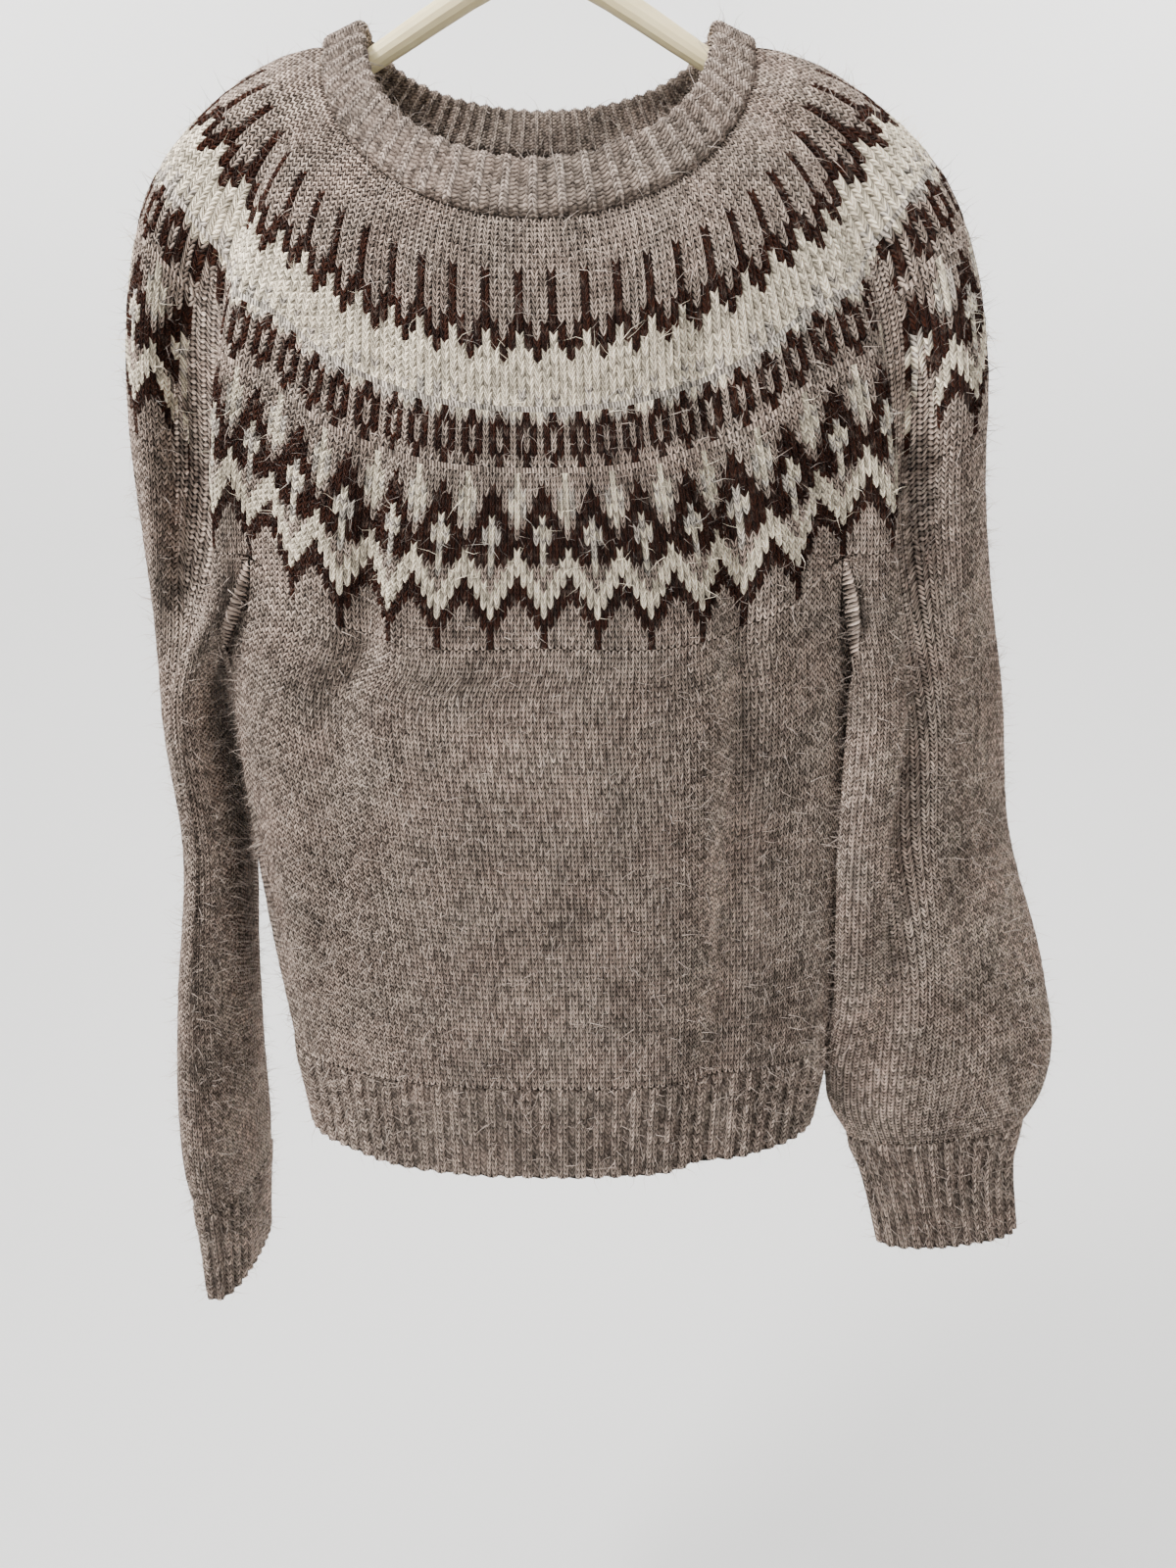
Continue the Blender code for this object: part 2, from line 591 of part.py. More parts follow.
def build_hook(material):
    """A bent wire: a straight stem, a swing out to one side, and a round bend over the rail."""
    bend_z = HOOK_WIRE - HOOK_BEND
    points = [(0.0, HOOK_FOOT_Z), (0.0, HOOK_STEM_TOP_Z)]
    for step in range(1, 6):
        share = step / 6
        ease = share * share * (3 - 2 * share)
        points.append((HOOK_BEND * ease, HOOK_STEM_TOP_Z + (bend_z - HOOK_STEM_TOP_Z) * share))
    for angle in np.radians(np.linspace(0.0, 205.0, 22)):
        points.append((HOOK_BEND * math.cos(angle), bend_z + HOOK_BEND * math.sin(angle)))
    curve = bpy.data.curves.new("hook", "CURVE")
    curve.dimensions = "3D"
    curve.bevel_depth = HOOK_WIRE
    curve.bevel_resolution = 2
    curve.use_fill_caps = True
    spline = curve.splines.new("POLY")
    spline.points.add(len(points) - 1)
    for point, (x, z) in zip(spline.points, points):
        point.co = (x, 0.0, z, 1.0)
    curve.materials.append(material)
    hook = bpy.data.objects.new("hook", curve)
    bpy.context.scene.collection.objects.link(hook)
    return hook


def build_jumper():
    clear_scene()
    taupe = plain_material("wool_taupe", WOOL_TAUPE, 0.95, 0.0)
    brown = plain_material("wool_pattern", WOOL_BROWN, 0.95, 0.0)
    ivory = plain_material("hanger_ivory", HANGER_IVORY, 0.45, 0.0)
    steel = plain_material("hook_steel", HOOK_STEEL, 0.30, 1.0)
    wall_object("yoke", yoke_surface(yoke_stitches(), YOKE_LEVELS), brown, from_neck=True)
    body = cloth_stitches(BODY_ROUND, BODY_STEP)
    wall_object("body", body_surface(body, BODY_LEVELS), taupe)
    hem = rib_surface([body_section(row, body) for row in HEM_SECTIONS], HEM_LEVELS)
    wall_object("hem_rib", add_folds(hem, body, HEM_FOLDS, BODY_ROUND), taupe)
    sleeve_stitches = cloth_stitches(SLEEVE_ROUND, SLEEVE_STEP)
    for side, sleeve in (("right", sleeve_stitches), ("left", -sleeve_stitches)):
        wall_object("sleeve_" + side, sleeve_surface(side, sleeve, SLEEVE_LEVELS), taupe)
        cuff = [sleeve_section(side, row, sleeve) for row in CUFF_SECTIONS[side]]
        wall_object("cuff_" + side, rib_surface(cuff, CUFF_LEVELS), taupe)
    build_neck_rib(taupe)
    build_hanger(ivory)
    build_hook(steel)


build_jumper()
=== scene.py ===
"""The looks of a hand-knitted fair isle jumper with a round yoke, hanging on its coat hanger.

Every piece of cloth is a closed skin. Its outer face has four columns of points for each stitch and one row
for each course, so that the charted colours and the ridges of the stitches follow the knitting. Its inner
face is coarser. Wool fibres stand off the outer one. Stitches are counted round from the front centre,
towards +X.
"""

import math

import bpy
import numpy as np
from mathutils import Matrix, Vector


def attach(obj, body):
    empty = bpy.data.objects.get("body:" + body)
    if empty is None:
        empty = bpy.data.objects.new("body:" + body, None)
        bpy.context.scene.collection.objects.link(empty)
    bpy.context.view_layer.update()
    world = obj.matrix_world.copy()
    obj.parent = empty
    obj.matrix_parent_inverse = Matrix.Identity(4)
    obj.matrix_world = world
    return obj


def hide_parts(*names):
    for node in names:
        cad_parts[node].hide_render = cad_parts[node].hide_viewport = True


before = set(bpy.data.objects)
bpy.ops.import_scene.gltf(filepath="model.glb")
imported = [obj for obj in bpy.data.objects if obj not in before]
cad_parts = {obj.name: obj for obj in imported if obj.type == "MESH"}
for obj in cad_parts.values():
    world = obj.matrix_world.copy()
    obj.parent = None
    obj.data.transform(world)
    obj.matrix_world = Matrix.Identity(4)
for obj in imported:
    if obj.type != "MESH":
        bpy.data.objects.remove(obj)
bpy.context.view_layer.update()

# Cloth.
WALL = 0.003
SEAM_GAP = 0.0001
NECK_GAP = 0.0004
CORNER_GAP = 0.0016
CORNER_STITCHES = 2.0
BAND_THICK = 0.009

# At the underarms the sleeve is set to one side of the graft line and the body to the other, and each leans
# that way at its top. The graft line bows. All are for the right sleeve.
UNDERARM_ASIDE = (0.00032, -0.00024, 0.0)
UNDERARM_LEAN = (0.35, -0.25, 0.0)
UNDERARM_BOW = (0.004, -0.003, -0.002)

# Stitches round each edge. Every yoke stitch goes on into the body or into a sleeve.
FRONT = 96
SLEEVE = 64
BACK = 128
UNDERARM = 12
YOKE_ROUND = FRONT + BACK + 2 * SLEEVE
BODY_ROUND = FRONT + BACK + 2 * UNDERARM
SLEEVE_ROUND = SLEEVE + UNDERARM

# Courses of each piece, the stitches round the ribs, and the stitches in a rib's repeat.
BODY_ROWS = 92
SLEEVE_ROWS = 150
HEM_ROWS = 19
CUFF_ROWS = 20
NECK_ROWS = 10
HEM_STITCHES = 246
CUFF_STITCHES = 75
NECK_STITCHES = 183
RIB_REPEAT = 3

# Neck, as the line where the yoke is knitted on to the neckband, and the neckband's fold.
NECK_COLUMNS = ("half_width", "front_y", "back_y", "side_z", "front_z", "back_z")
NECK_SEAM = dict(zip(NECK_COLUMNS, (0.1190, -0.096, 0.056, -0.1285, -0.2410, -0.1690)))
NECK_FOLD = dict(zip(NECK_COLUMNS, (0.0950, -0.085, 0.060, -0.1180, -0.2110, -0.1405)))
NECK_SIDE_STITCH = 82

# The yoke's lower edge, from the front centre to the back centre, in metres.
# place, stitch, right_x, left_x, y, z
YOKE_EDGE = (
    ("front_centre", 0, 0.004, 0.004, -0.105, -0.452),
    ("front_quarter", 24, 0.088, -0.080, -0.100, -0.449),
    ("front_side", 38, 0.134, -0.126, -0.086, -0.432),
    ("underarm_front", 48, 0.168, -0.160, -0.062, -0.405),
    ("sleeve_inner", 56, 0.196, -0.180, -0.060, -0.400),
    ("sleeve_groove", 63, 0.212, -0.196, -0.030, -0.362),
    ("sleeve_front", 70, 0.236, -0.218, -0.048, -0.342),
    ("sleeve_outer", 80, 0.2600, -0.2400, -0.006, -0.334),
    ("sleeve_back", 90, 0.246, -0.228, 0.036, -0.352),
    ("sleeve_rear", 102, 0.215, -0.206, 0.030, -0.400),
    ("underarm_back", 112, 0.201, -0.196, -0.010, -0.437),
    ("back_side", 128, 0.176, -0.168, 0.040, -0.424),
    ("back_quarter", 150, 0.094, -0.090, 0.062, -0.406),
    ("back_centre", 176, 0.004, 0.004, 0.066, -0.398),
)

# A line round the yoke part of the way down, where it turns over the hanger's tips.
MIDDLE_SHARE = 0.45
YOKE_MIDDLE = (
    ("front_centre", 0, 0.003, 0.003, -0.108, -0.345),
    ("front_quarter", 26, 0.078, -0.074, -0.102, -0.332),
    ("front_side", 44, 0.134, -0.128, -0.076, -0.298),
    ("sleeve_inner", 56, 0.170, -0.162, -0.052, -0.258),
    ("sleeve_groove", 63, 0.190, -0.181, -0.036, -0.234),
    ("sleeve_front", 70, 0.208, -0.199, -0.032, -0.210),
    ("sleeve_outer", 80, 0.223, -0.213, 0.000, -0.188),
    ("sleeve_back", 90, 0.214, -0.205, 0.028, -0.202),
    ("sleeve_rear", 104, 0.182, -0.175, 0.052, -0.240),
    ("back_side", 124, 0.132, -0.127, 0.070, -0.270),
    ("back_quarter", 150, 0.066, -0.062, 0.079, -0.284),
    ("back_centre", 176, 0.003, 0.003, 0.080, -0.288),
)

# How steeply the yoke leaves the neckband, in degrees below level, how that changes from the side to the
# front and back, and how much it sets off straight out from the neck's middle.
SLOPE_SIDE = 4.0
SLOPE_FRONT = 66.0
SLOPE_BACK = 50.0
SLOPE_POWER = 1.5
LEAVE_PULL = (0.60, 0.78)
LEAVE_LENGTH = 1.10
ARRIVE_LENGTH = 1.00

# The body and its hem, level by level.
# z, left_x, right_x, front_y, back_y, square
BODY_SECTIONS = (
    (-0.485, -0.189, 0.188, -0.102, 0.062, 2.3),
    (-0.560, -0.183, 0.191, -0.098, 0.060, 2.3),
    (-0.645, -0.173, 0.190, -0.094, 0.060, 2.3),
    (-0.708, -0.163, 0.184, -0.095, 0.062, 2.3),
)
HEM_SECTIONS = (
    (-0.708, -0.163, 0.184, -0.095, 0.062, 2.3),
    (-0.736, -0.159, 0.180, -0.095, 0.061, 2.3),
    (-0.763, -0.154, 0.175, -0.097, 0.060, 2.3),
)

# The sleeves and cuffs, level by level. Turn swings the sleeve's outer edge back, in degrees.
# z, centre_x, centre_y, half_wide, half_thick, turn
SLEEVE_SECTIONS = {
    "right": (
        (-0.490, 0.2345, -0.014, 0.070, 0.020, 38.0),
        (-0.578, 0.2390, -0.014, 0.077, 0.021, 36.0),
        (-0.678, 0.2560, -0.010, 0.083, 0.025, 25.0),
        (-0.735, 0.2600, -0.004, 0.081, 0.030, 15.0),
        (-0.762, 0.2605, 0.000, 0.074, 0.029, 12.0),
        (-0.782, 0.261, 0.000, 0.062, 0.022, 11.0),
    ),
    "left": (
        (-0.490, -0.2130, -0.005, 0.060, 0.0140, 87.0),
        (-0.578, -0.2060, -0.003, 0.060, 0.0145, 88.0),
        (-0.680, -0.2130, -0.002, 0.061, 0.0175, 90.0),
        (-0.752, -0.2160, 0.000, 0.062, 0.0200, 90.0),
        (-0.790, -0.2150, 0.000, 0.060, 0.0195, 91.0),
        (-0.815, -0.2135, 0.000, 0.054, 0.0170, 92.0),
    ),
}
CUFF_SECTIONS = {
    "right": (
        (-0.782, 0.261, 0.000, 0.062, 0.022, 11.0),
        (-0.808, 0.264, 0.000, 0.055, 0.019, 11.0),
        (-0.863, 0.274, 0.000, 0.050, 0.016, 10.0),
    ),
    "left": (
        (-0.815, -0.2135, 0.000, 0.054, 0.0170, 92.0),
        (-0.840, -0.2135, 0.000, 0.051, 0.0150, 92.0),
        (-0.880, -0.2136, 0.000, 0.049, 0.0125, 92.0),
    ),
}
SLEEVE_SQUARE = 2.2
OUTER_STITCH = {"right": 86, "left": 99}

# Folds, each a soft trough that runs down the cloth, or a ridge where its depth is negative.
# start, end, wide_top, wide_end, depth_top, depth_middle, depth_end
YOKE_FOLDS = (
    (28, 31, 3.0, 3.5, 0.000, 0.006, 0.013),
    (-27, -28, 3.0, 3.5, 0.000, 0.006, 0.013),
    (58, 63, 3.2, 3.2, 0.000, 0.010, 0.014),
    (-58, -63, 3.2, 3.2, 0.000, 0.012, 0.018),
    (148, 152, 5.0, 5.0, 0.000, 0.002, 0.005),
    (-146, -150, 5.0, 5.0, 0.000, 0.002, 0.004),
)
BODY_FOLDS = (
    (31, 27, 3.5, 5.0, 0.013, 0.015, 0.010),
    (36, 37, 7.0, 7.0, 0.000, 0.011, 0.006),
    (-28, -38, 3.5, 6.0, 0.013, 0.004, 0.002),
    (100, 92, 5.0, 6.0, 0.005, 0.008, 0.007),
    (-98, -104, 5.0, 6.0, 0.004, 0.007, 0.008),
)
HEM_FOLDS = (
    (27, 26, 5.0, 5.0, 0.010, 0.009, 0.009),
    (37, 37, 7.0, 7.0, 0.006, 0.005, 0.004),
    (-38, -39, 6.0, 6.0, 0.002, 0.002, 0.003),
    (92, 91, 6.0, 6.0, 0.007, 0.007, 0.007),
    (-104, -105, 6.0, 6.0, 0.008, 0.008, 0.008),
)
SLEEVE_FOLDS = {
    "right": ((15, 5, 3.2, 3.0, 0.014, 0.017, 0.000), (46, 50, 4.0, 5.0, 0.000, 0.008, 0.000)),
    "left": ((15, 10, 3.2, 5.0, 0.018, 0.008, 0.000), (48, 52, 4.0, 5.0, 0.000, 0.006, 0.000)),
}

# Yarns by their letters in the charts: the ground, dark brown, cream, the mixed one, and the neckband's
# knitted and purled stitches, the purled ones a darker copy of the same yarn as painted shade in the rib's
# recesses. Each has its colour (linear), and how heathered it is.
YARNS = {
    "g": ((0.468, 0.365, 0.308), 1.00),
    "b": ((0.034, 0.011, 0.006), 0.25),
    "w": ((0.980, 0.850, 0.660), 0.12),
    "l": ((0.640, 0.570, 0.500), 0.60),
    "n": ((0.430, 0.345, 0.295), 0.50),
    "p": ((0.285, 0.222, 0.186), 0.80),
}

# The chart of the yoke's bands, from the neck down. Each entry is how many courses are knitted like it, and
# the yarns from the repeat's first stitch to its middle one. The rest of the repeat mirrors them.
NECK_BAND = (
    (10, "ggg"), (9, "ggb"), (2, "gbb"), (1, "gbw"), (2, "bbw"), (2, "bww"), (5, "www"), (3, "lwl"),
)
LINK_BAND = (
    (1, "llb"), (1, "lgb"), (1, "gbb"), (4, "gbg"), (1, "gbb"), (2, "ggb"),
)
PEAK_BAND = (
    (2, "ggggw"), (1, "bgggw"), (1, "bgglw"), (3, "bbglw"), (1, "bbblw"), (1, "lbbgw"), (1, "lbbgl"),
    (2, "llbbg"), (1, "llbbb"), (1, "lbbbb"), (2, "lbbbw"), (1, "lbbww"), (1, "lggww"), (1, "lgwww"),
    (1, "ggwwb"), (1, "gwwwb"), (1, "gwwbb"), (1, "wwwbb"), (1, "wwbbb"), (1, "wwbbg"), (2, "wbbgg"),
    (2, "bbggg"), (4, "bgggg"),
)

# Stitches round each band, stitches in one repeat, and the band's chart.
YOKE_BANDS = ((240, 4, NECK_BAND), (304, 4, LINK_BAND), (352, 8, PEAK_BAND))

# One more plain course joins each band to the next: its yarns, how much its stitches stand out, and which
# line of a course it is drawn from.
JOINING_YARNS = "lg"
JOINING_RELIEF = 0.5
MID_COURSE = 0.5
YOKE_ROWS = sum(count for band in YOKE_BANDS for count, _ in band[2]) + len(JOINING_YARNS)

# The mixed yarn is cream in this share of its stitches, which are picked from this seed.
MIXED_CREAM = 0.5
MIXED_SEED = 7

# Points along the outlines and paths that the cloth is measured on, and along the neckband's two round ends.
NECK_POINTS = 91
OVAL_POINTS = 121
YOKE_PATH_POINTS = 40
HANGING_PATH_POINTS = 60
BAND_FOLD_POINTS = 8
BAND_SEAM_POINTS = 4

# Columns of points for each stitch, and how many courses a wale's edges ride up and its middle hangs down.
COLUMNS_PER_STITCH = 4
WALE_LIFT = 0.45

# One column of the inner face for this many stitches, and one level for this many courses.
INNER_STITCHES = 4
INNER_ROWS = 5

# How the stitches stand out in the mesh: heights in metres, and the ribs' repeat and middle in stitches. The
# groove between two wales is a share of the legs' height.
WALE_GROOVE = 0.35
PLAIN_RELIEF = {
    "Leg height": 0.0012,
    "Rib height": 0.0,
    "Rib repeat": float(RIB_REPEAT),
    "Rib middle": 1.0,
    "Uneven height": 0.0012,
}
RIB_RELIEF = {**PLAIN_RELIEF, "Rib height": 0.0013}
NECK_RELIEF = {**PLAIN_RELIEF, "Leg height": 0.0008, "Rib height": 0.0007, "Rib middle": 0.5}
RELIEF = {"hem_rib": RIB_RELIEF, "cuff_right": RIB_RELIEF, "cuff_left": RIB_RELIEF, "neck_rib": NECK_RELIEF}

# The flat size of each piece's cloth in metres, all round by down, and its area where it isn't a rectangle.
CUT = {
    "yoke": ((1.30, 0.25), 0.25),
    "body": ((0.88, 0.29), None),
    "hem_rib": ((0.86, 0.057), None),
    "sleeve_right": ((0.32, 0.44), None),
    "sleeve_left": ((0.32, 0.44), None),
    "cuff_right": ((0.27, 0.072), None),
    "cuff_left": ((0.27, 0.072), None),
    "neck_rib": ((0.72, 0.036), None),
}

# Loose fibres, as spikes with three sides. Tilt is in radians, and shares are of the full length.
FIBRES_PER_AREA = 17500.0
FIBRE_LENGTH = 0.0105
FIBRE_RADIUS = 0.00019
FIBRE_BEND = 0.0070
FIBRE_SIDES = 3
FIBRE_SEGMENTS = 2
FIBRE_TILT = 0.95
FIBRE_SHARES = (0.35, 1.25)
FIRST_SEED = 3

# How a stitch looks in the wool. Its legs slant and wander, and fall away to the gap beside them and, less,
# to the next course. A purled stitch is a bump that waves.
LEG_SLANT = 0.75
WANDER = 0.35
LEG_FALL = 0.95
COURSE_FALL = 0.12
PURL_WAVE = 0.22
PURL_TOP = 0.85
PURL_FALL = 0.6

# Shades that multiply the yarn's colour: the darkest and palest leg, at random; a wale's middle and its edge,
# as painted light and painted shade; the crest of a leg, as a painted highlight; and the painted shade in the
# gaps in yarn that isn't heathered. A leg has its full painted highlight when it is this plump.
LEG_SHADES = (0.45, 1.62)
PAINTED_WALE_SHADES = (1.12, 0.60)
PAINTED_CREST_HIGHLIGHT = 1.08
PLAIN_PAINTED_GAP_SHADE = 0.55
FULL_PLUMP = 0.9

# A rib's groove has its darkest painted shade at the first of these heights of its wave, from -1 to 1,
# and none at the second.
RIB_WAVE = (-0.9, 0.3)

# Lengths of yarn are drawn out along their course by taking this much of each stitch.
LENGTH_STRETCH = 0.30

# The twist of the yarn, in turns for each stitch and each course, and its height and the nap's as shares of a
# stitch's.
TWIST_TURNS = (5.0, 3.0)
TWIST_HEIGHT = 0.06
NAP_HEIGHT = 0.35

# Each finish's bump: its strength, and its depth in metres.
WOOL_BUMP = (1.0, 0.0018)
FIBRE_BUMP = (0.2, 0.0001)
PAINT_BUMP = (0.35, 0.0004)
STEEL_BUMP = (0.3, 0.0002)

# Plain noises: scale and detail.
UNEVEN_NOISE = (130.0, 2.0)
WANDER_NOISE = (300.0, 2.0)
NAP_NOISE = (1500.0, 3.0)
FIBRE_NOISE = (3000.0, 2.0)
BRUSH_NOISE = (3.0, 4.0)
SCRATCH_NOISE = (700.0, 4.0)
COVE_NOISE = (1.3, 2.0)

# Patterns of noise: scale, detail, and the range of the noise that becomes the range of the effect.
WARM_PATCHES = (31.0, 3.0, 0.35, 0.65, 0.0, 1.0)
PALE_STREAKS = (200.0, 3.0, 0.54, 0.70, 0.0, 0.40)
DARK_FLECKS = (330.0, 3.0, 0.52, 0.68, 0.0, 0.42)
SOFT_PATCHES = (22.0, 4.0, 0.32, 0.68, 0.74, 1.24)
YARN_LENGTHS = (0.45, 3.0, 0.30, 0.70, 0.78, 1.22)
WOOL_ROUGHNESS = (500.0, 2.0, 0.3, 0.7, 0.86, 1.0)
# The loose fibres' painted highlight comes in patches.
FIBRE_HIGHLIGHT_PATCHES = (120.0, 2.0, 0.3, 0.7, 0.0, 0.28)
FIBRE_ROUGHNESS = (900.0, 2.0, 0.3, 0.7, 0.6, 0.9)
PAINT_WEAR = (45.0, 4.0, 0.35, 0.7, 0.0, 1.0)
WIRE_DULLNESS = (60.0, 3.0, 0.35, 0.7, 0.0, 1.0)

# How rough brushed paint and scratched steel are: a range of their noise, and the roughness it becomes.
PAINT_ROUGHNESS = (0.3, 0.7, 0.42, 0.60)
STEEL_ROUGHNESS = (0.3, 0.7, 0.20, 0.42)

# How far a brush mark is drawn out along the hanger, and how strongly it shows.
BRUSH_STRETCH = (8.0, 120.0, 120.0)
BRUSH_SHOWS = 0.25

# Colours that the materials mix (linear).
COOL_TINT = (0.98, 1.00, 0.985, 1.0)
WARM_TINT = (1.03, 0.99, 0.97, 1.0)
PALE_STREAK = (0.66, 0.54, 0.46, 1.0)
DARK_FLECK = (0.085, 0.062, 0.050, 1.0)
# A painted highlight on the loose fibres.
FIBRE_HIGHLIGHT = (0.78, 0.70, 0.62, 1.0)
IVORY_PAINT = (0.90, 0.76, 0.42, 1.0)
WORN_PAINT = (0.80, 0.65, 0.34, 1.0)
BRUSH_MARK = (0.92, 0.88, 0.74, 1.0)
BRIGHT_STEEL = (0.66, 0.65, 0.63, 1.0)
DULL_STEEL = (0.48, 0.46, 0.43, 1.0)
COVE_PAINT = (0.80, 0.795, 0.785, 1.0)
COVE_PATCH = (0.84, 0.835, 0.825, 1.0)

# Camera and stage.
CAMERA_PLACE = (0.027, -0.70, -0.398)
CAMERA_DIP = 12.0
CAMERA_FILM = 36.0
CAMERA_LENS = 26.0
COVE_FLOOR_Z = -1.60
COVE_RADIUS = 3.2
COVE_BEND = 1.2
COVE_TOP_Z = 2.6
COVE_SIDES = 64
COVE_STEPS = 13
WORLD_LIGHT = 0.17
WORLD_COLOUR = (0.95, 0.97, 1.0, 1.0)

# Each light: name, place, aim, size, power, colour.
LIGHTS = (
    ("key", (-0.95, -0.85, 0.90), (0.0, 0.0, -0.25), 0.35, 53.0, (1.0, 0.985, 0.96)),
    ("above", (-0.15, -0.45, 1.10), (0.0, 0.0, -0.20), 0.5, 13.0, (1.0, 1.0, 1.0)),
    ("front", (-0.7, -1.4, 0.60), (0.0, 0.0, -0.20), 0.6, 8.0, (1.0, 1.0, 1.0)),
    ("behind", (0.4, 2.0, 0.9), (0.0, 0.0, -0.5), 1.8, 22.0, (1.0, 1.0, 1.0)),
    ("wall_left", (-1.4, 1.4, 1.8), (-0.6, 3.0, -0.2), 1.2, 80.0, (1.0, 1.0, 1.0)),
    ("wall_right", (1.4, 1.4, 1.8), (0.6, 3.0, -0.2), 1.2, 80.0, (1.0, 1.0, 1.0)),
)


def linked(name, data):
    """A new object in the scene."""
    obj = bpy.data.objects.new(name, data)
    bpy.context.scene.collection.objects.link(obj)
    return obj


def smooth_through(knots, values, at, closed_by=None, start_slope=None, end_slope=None):
    """A cubic curve through values at knots. closed_by is the length after which a closed curve repeats."""
    knots = np.asarray(knots, float)
    values = np.asarray(values, float)
    at = np.asarray(at, float)
    if closed_by is not None:
        at = np.mod(at - knots[0], closed_by) + knots[0]
        knots = np.concatenate([[knots[-1] - closed_by], knots, knots[:2] + closed_by])
        values = np.concatenate([values[-1:], values, values[:2]])
    steps = np.diff(knots).reshape((-1,) + (1,) * (values.ndim - 1))
    rises = np.diff(values, axis=0) / steps
    inner = (rises[:-1] * steps[1:] + rises[1:] * steps[:-1]) / (steps[:-1] + steps[1:])
    first = rises[:1] if start_slope is None else np.asarray(start_slope, float)[None]
    last = rises[-1:] if end_slope is None else np.asarray(end_slope, float)[None]
    slopes = np.concatenate([first, inner, last])
    span = np.clip(np.searchsorted(knots, at, side="right") - 1, 0, len(knots) - 2)
    width = (knots[span + 1] - knots[span]).reshape((-1,) + (1,) * (values.ndim - 1))
    share = ((at - knots[span]) / (knots[span + 1] - knots[span])).reshape(width.shape)
    return (
        values[span] * (2 * share**3 - 3 * share**2 + 1)
        + values[span + 1] * (3 * share**2 - 2 * share**3)
        + slopes[span] * width * (share**3 - 2 * share**2 + share)
        + slopes[span + 1] * width * (share**3 - share**2)
    )


def even_shares(outline, shares):
    """Points at the given shares of an open outline's length."""
    lengths = np.concatenate([[0.0], np.cumsum(np.linalg.norm(np.diff(outline, axis=0), axis=1))])
    places = np.asarray(shares) * lengths[-1]
    return np.stack([np.interp(places, lengths, column) for column in outline.T], axis=1)


def centred(stitches, round_count):
    """The same places round, counted from minus half the round to plus half."""
    return np.mod(np.asarray(stitches, float) + round_count / 2, round_count) - round_count / 2


def neck_line(sizes, stitches):
    """The neck's outline at yoke stitches counted from the front centre. It peaks on the hanger's arms."""
    angles = np.linspace(0.0, math.pi / 2, NECK_POINTS)
    turned = centred(stitches, YOKE_ROUND)
    away = np.abs(turned)
    quarters = {}
    for end in ("front", "back"):
        y = sizes[end + "_y"] * np.cos(angles)
        z = sizes["side_z"] + (sizes[end + "_z"] - sizes["side_z"]) * np.cos(angles)
        quarters[end] = np.stack([sizes["half_width"] * np.sin(angles), y, z], axis=1)
    in_front = even_shares(quarters["front"], np.clip(away / NECK_SIDE_STITCH, 0.0, 1.0))
    behind_share = (YOKE_ROUND / 2 - away) / (YOKE_ROUND / 2 - NECK_SIDE_STITCH)
    behind = even_shares(quarters["back"], np.clip(behind_share, 0.0, 1.0))
    points = np.where((away <= NECK_SIDE_STITCH)[:, None], in_front, behind)
    points[:, 0] *= np.where(turned < 0, -1.0, 1.0)
    return points


def yoke_edge(stitches, rows=YOKE_EDGE):
    """The yoke's lower edge, or another line round it, at stitches counted from the front centre."""
    right = [(row[1], row[2], row[4], row[5]) for row in rows]
    left = [(YOKE_ROUND - row[1], row[3], row[4], row[5]) for row in rows[-2:0:-1]]
    table = np.array(right + left)
    return smooth_through(table[:, 0], table[:, 1:], stitches, closed_by=YOKE_ROUND)


def underarm_line(side, shares):
    """The underarm graft, from its front end to its back end."""
    sign = 1.0 if side == "right" else -1.0
    ends = yoke_edge([sign * FRONT / 2, sign * (FRONT / 2 + SLEEVE)])
    shares = np.asarray(shares, float)[:, None]
    line = ends[0] + (ends[1] - ends[0]) * shares
    return line + np.sin(math.pi * shares) * np.array(UNDERARM_BOW) * (sign, 1.0, 1.0)


def add_folds(grid, stitches, folds, round_count):
    """Presses each fold into a grid of levels by stitches, along the cloth's own inward direction."""
    inward = -outward_normals(grid)
    depth = np.zeros(grid.shape[:2])
    shares = np.linspace(0.0, 1.0, grid.shape[0])
    for start, end, wide_top, wide_end, depth_top, depth_middle, depth_end in folds:
        centres = start + (end - start) * shares
        wide = wide_top + (wide_end - wide_top) * shares
        depths = np.interp(shares, [0.0, 0.5, 1.0], [depth_top, depth_middle, depth_end])
        away = centred(np.asarray(stitches)[None, :] - centres[:, None], round_count)
        depth = depth + depths[:, None] * np.exp(-((away / wide[:, None]) ** 2))
    return grid + inward * depth[:, :, None]


def outward_normals(grid, from_neck=False):
    """Unit normals of a grid of levels (down) by stitches (round, anticlockwise from above).
    Rims hang straight, but for the one at the neck."""
    along = np.roll(grid, -1, axis=1) - np.roll(grid, 1, axis=1)
    down = np.gradient(grid, axis=0)
    down[-1] = (0.0, 0.0, -1.0)
    if not from_neck:
        down[0] = (0.0, 0.0, -1.0)
    normals = np.cross(down, along)
    return normals / np.maximum(np.linalg.norm(normals, axis=2, keepdims=True), 1e-9)


def even_levels(paths, levels, start_gaps):
    """Cuts every stitch's dense path into levels that are even along the cloth."""
    columns = []
    for path, gap in zip(np.swapaxes(paths, 0, 1), start_gaps):
        length = np.linalg.norm(np.diff(path, axis=0), axis=1).sum()
        columns.append(even_shares(path, np.linspace(gap / length, 1.0, levels + 1)))
    return np.swapaxes(np.array(columns), 0, 1)


def seam_gaps(stitches, corners, round_count):
    """The gap above each stitch, wider where three pieces of cloth meet."""
    gaps = np.full(len(stitches), SEAM_GAP)
    for corner in corners:
        away = centred(np.asarray(stitches) - corner, round_count)
        gaps = gaps + CORNER_GAP * np.exp(-((away / CORNER_STITCHES) ** 2))
    return gaps


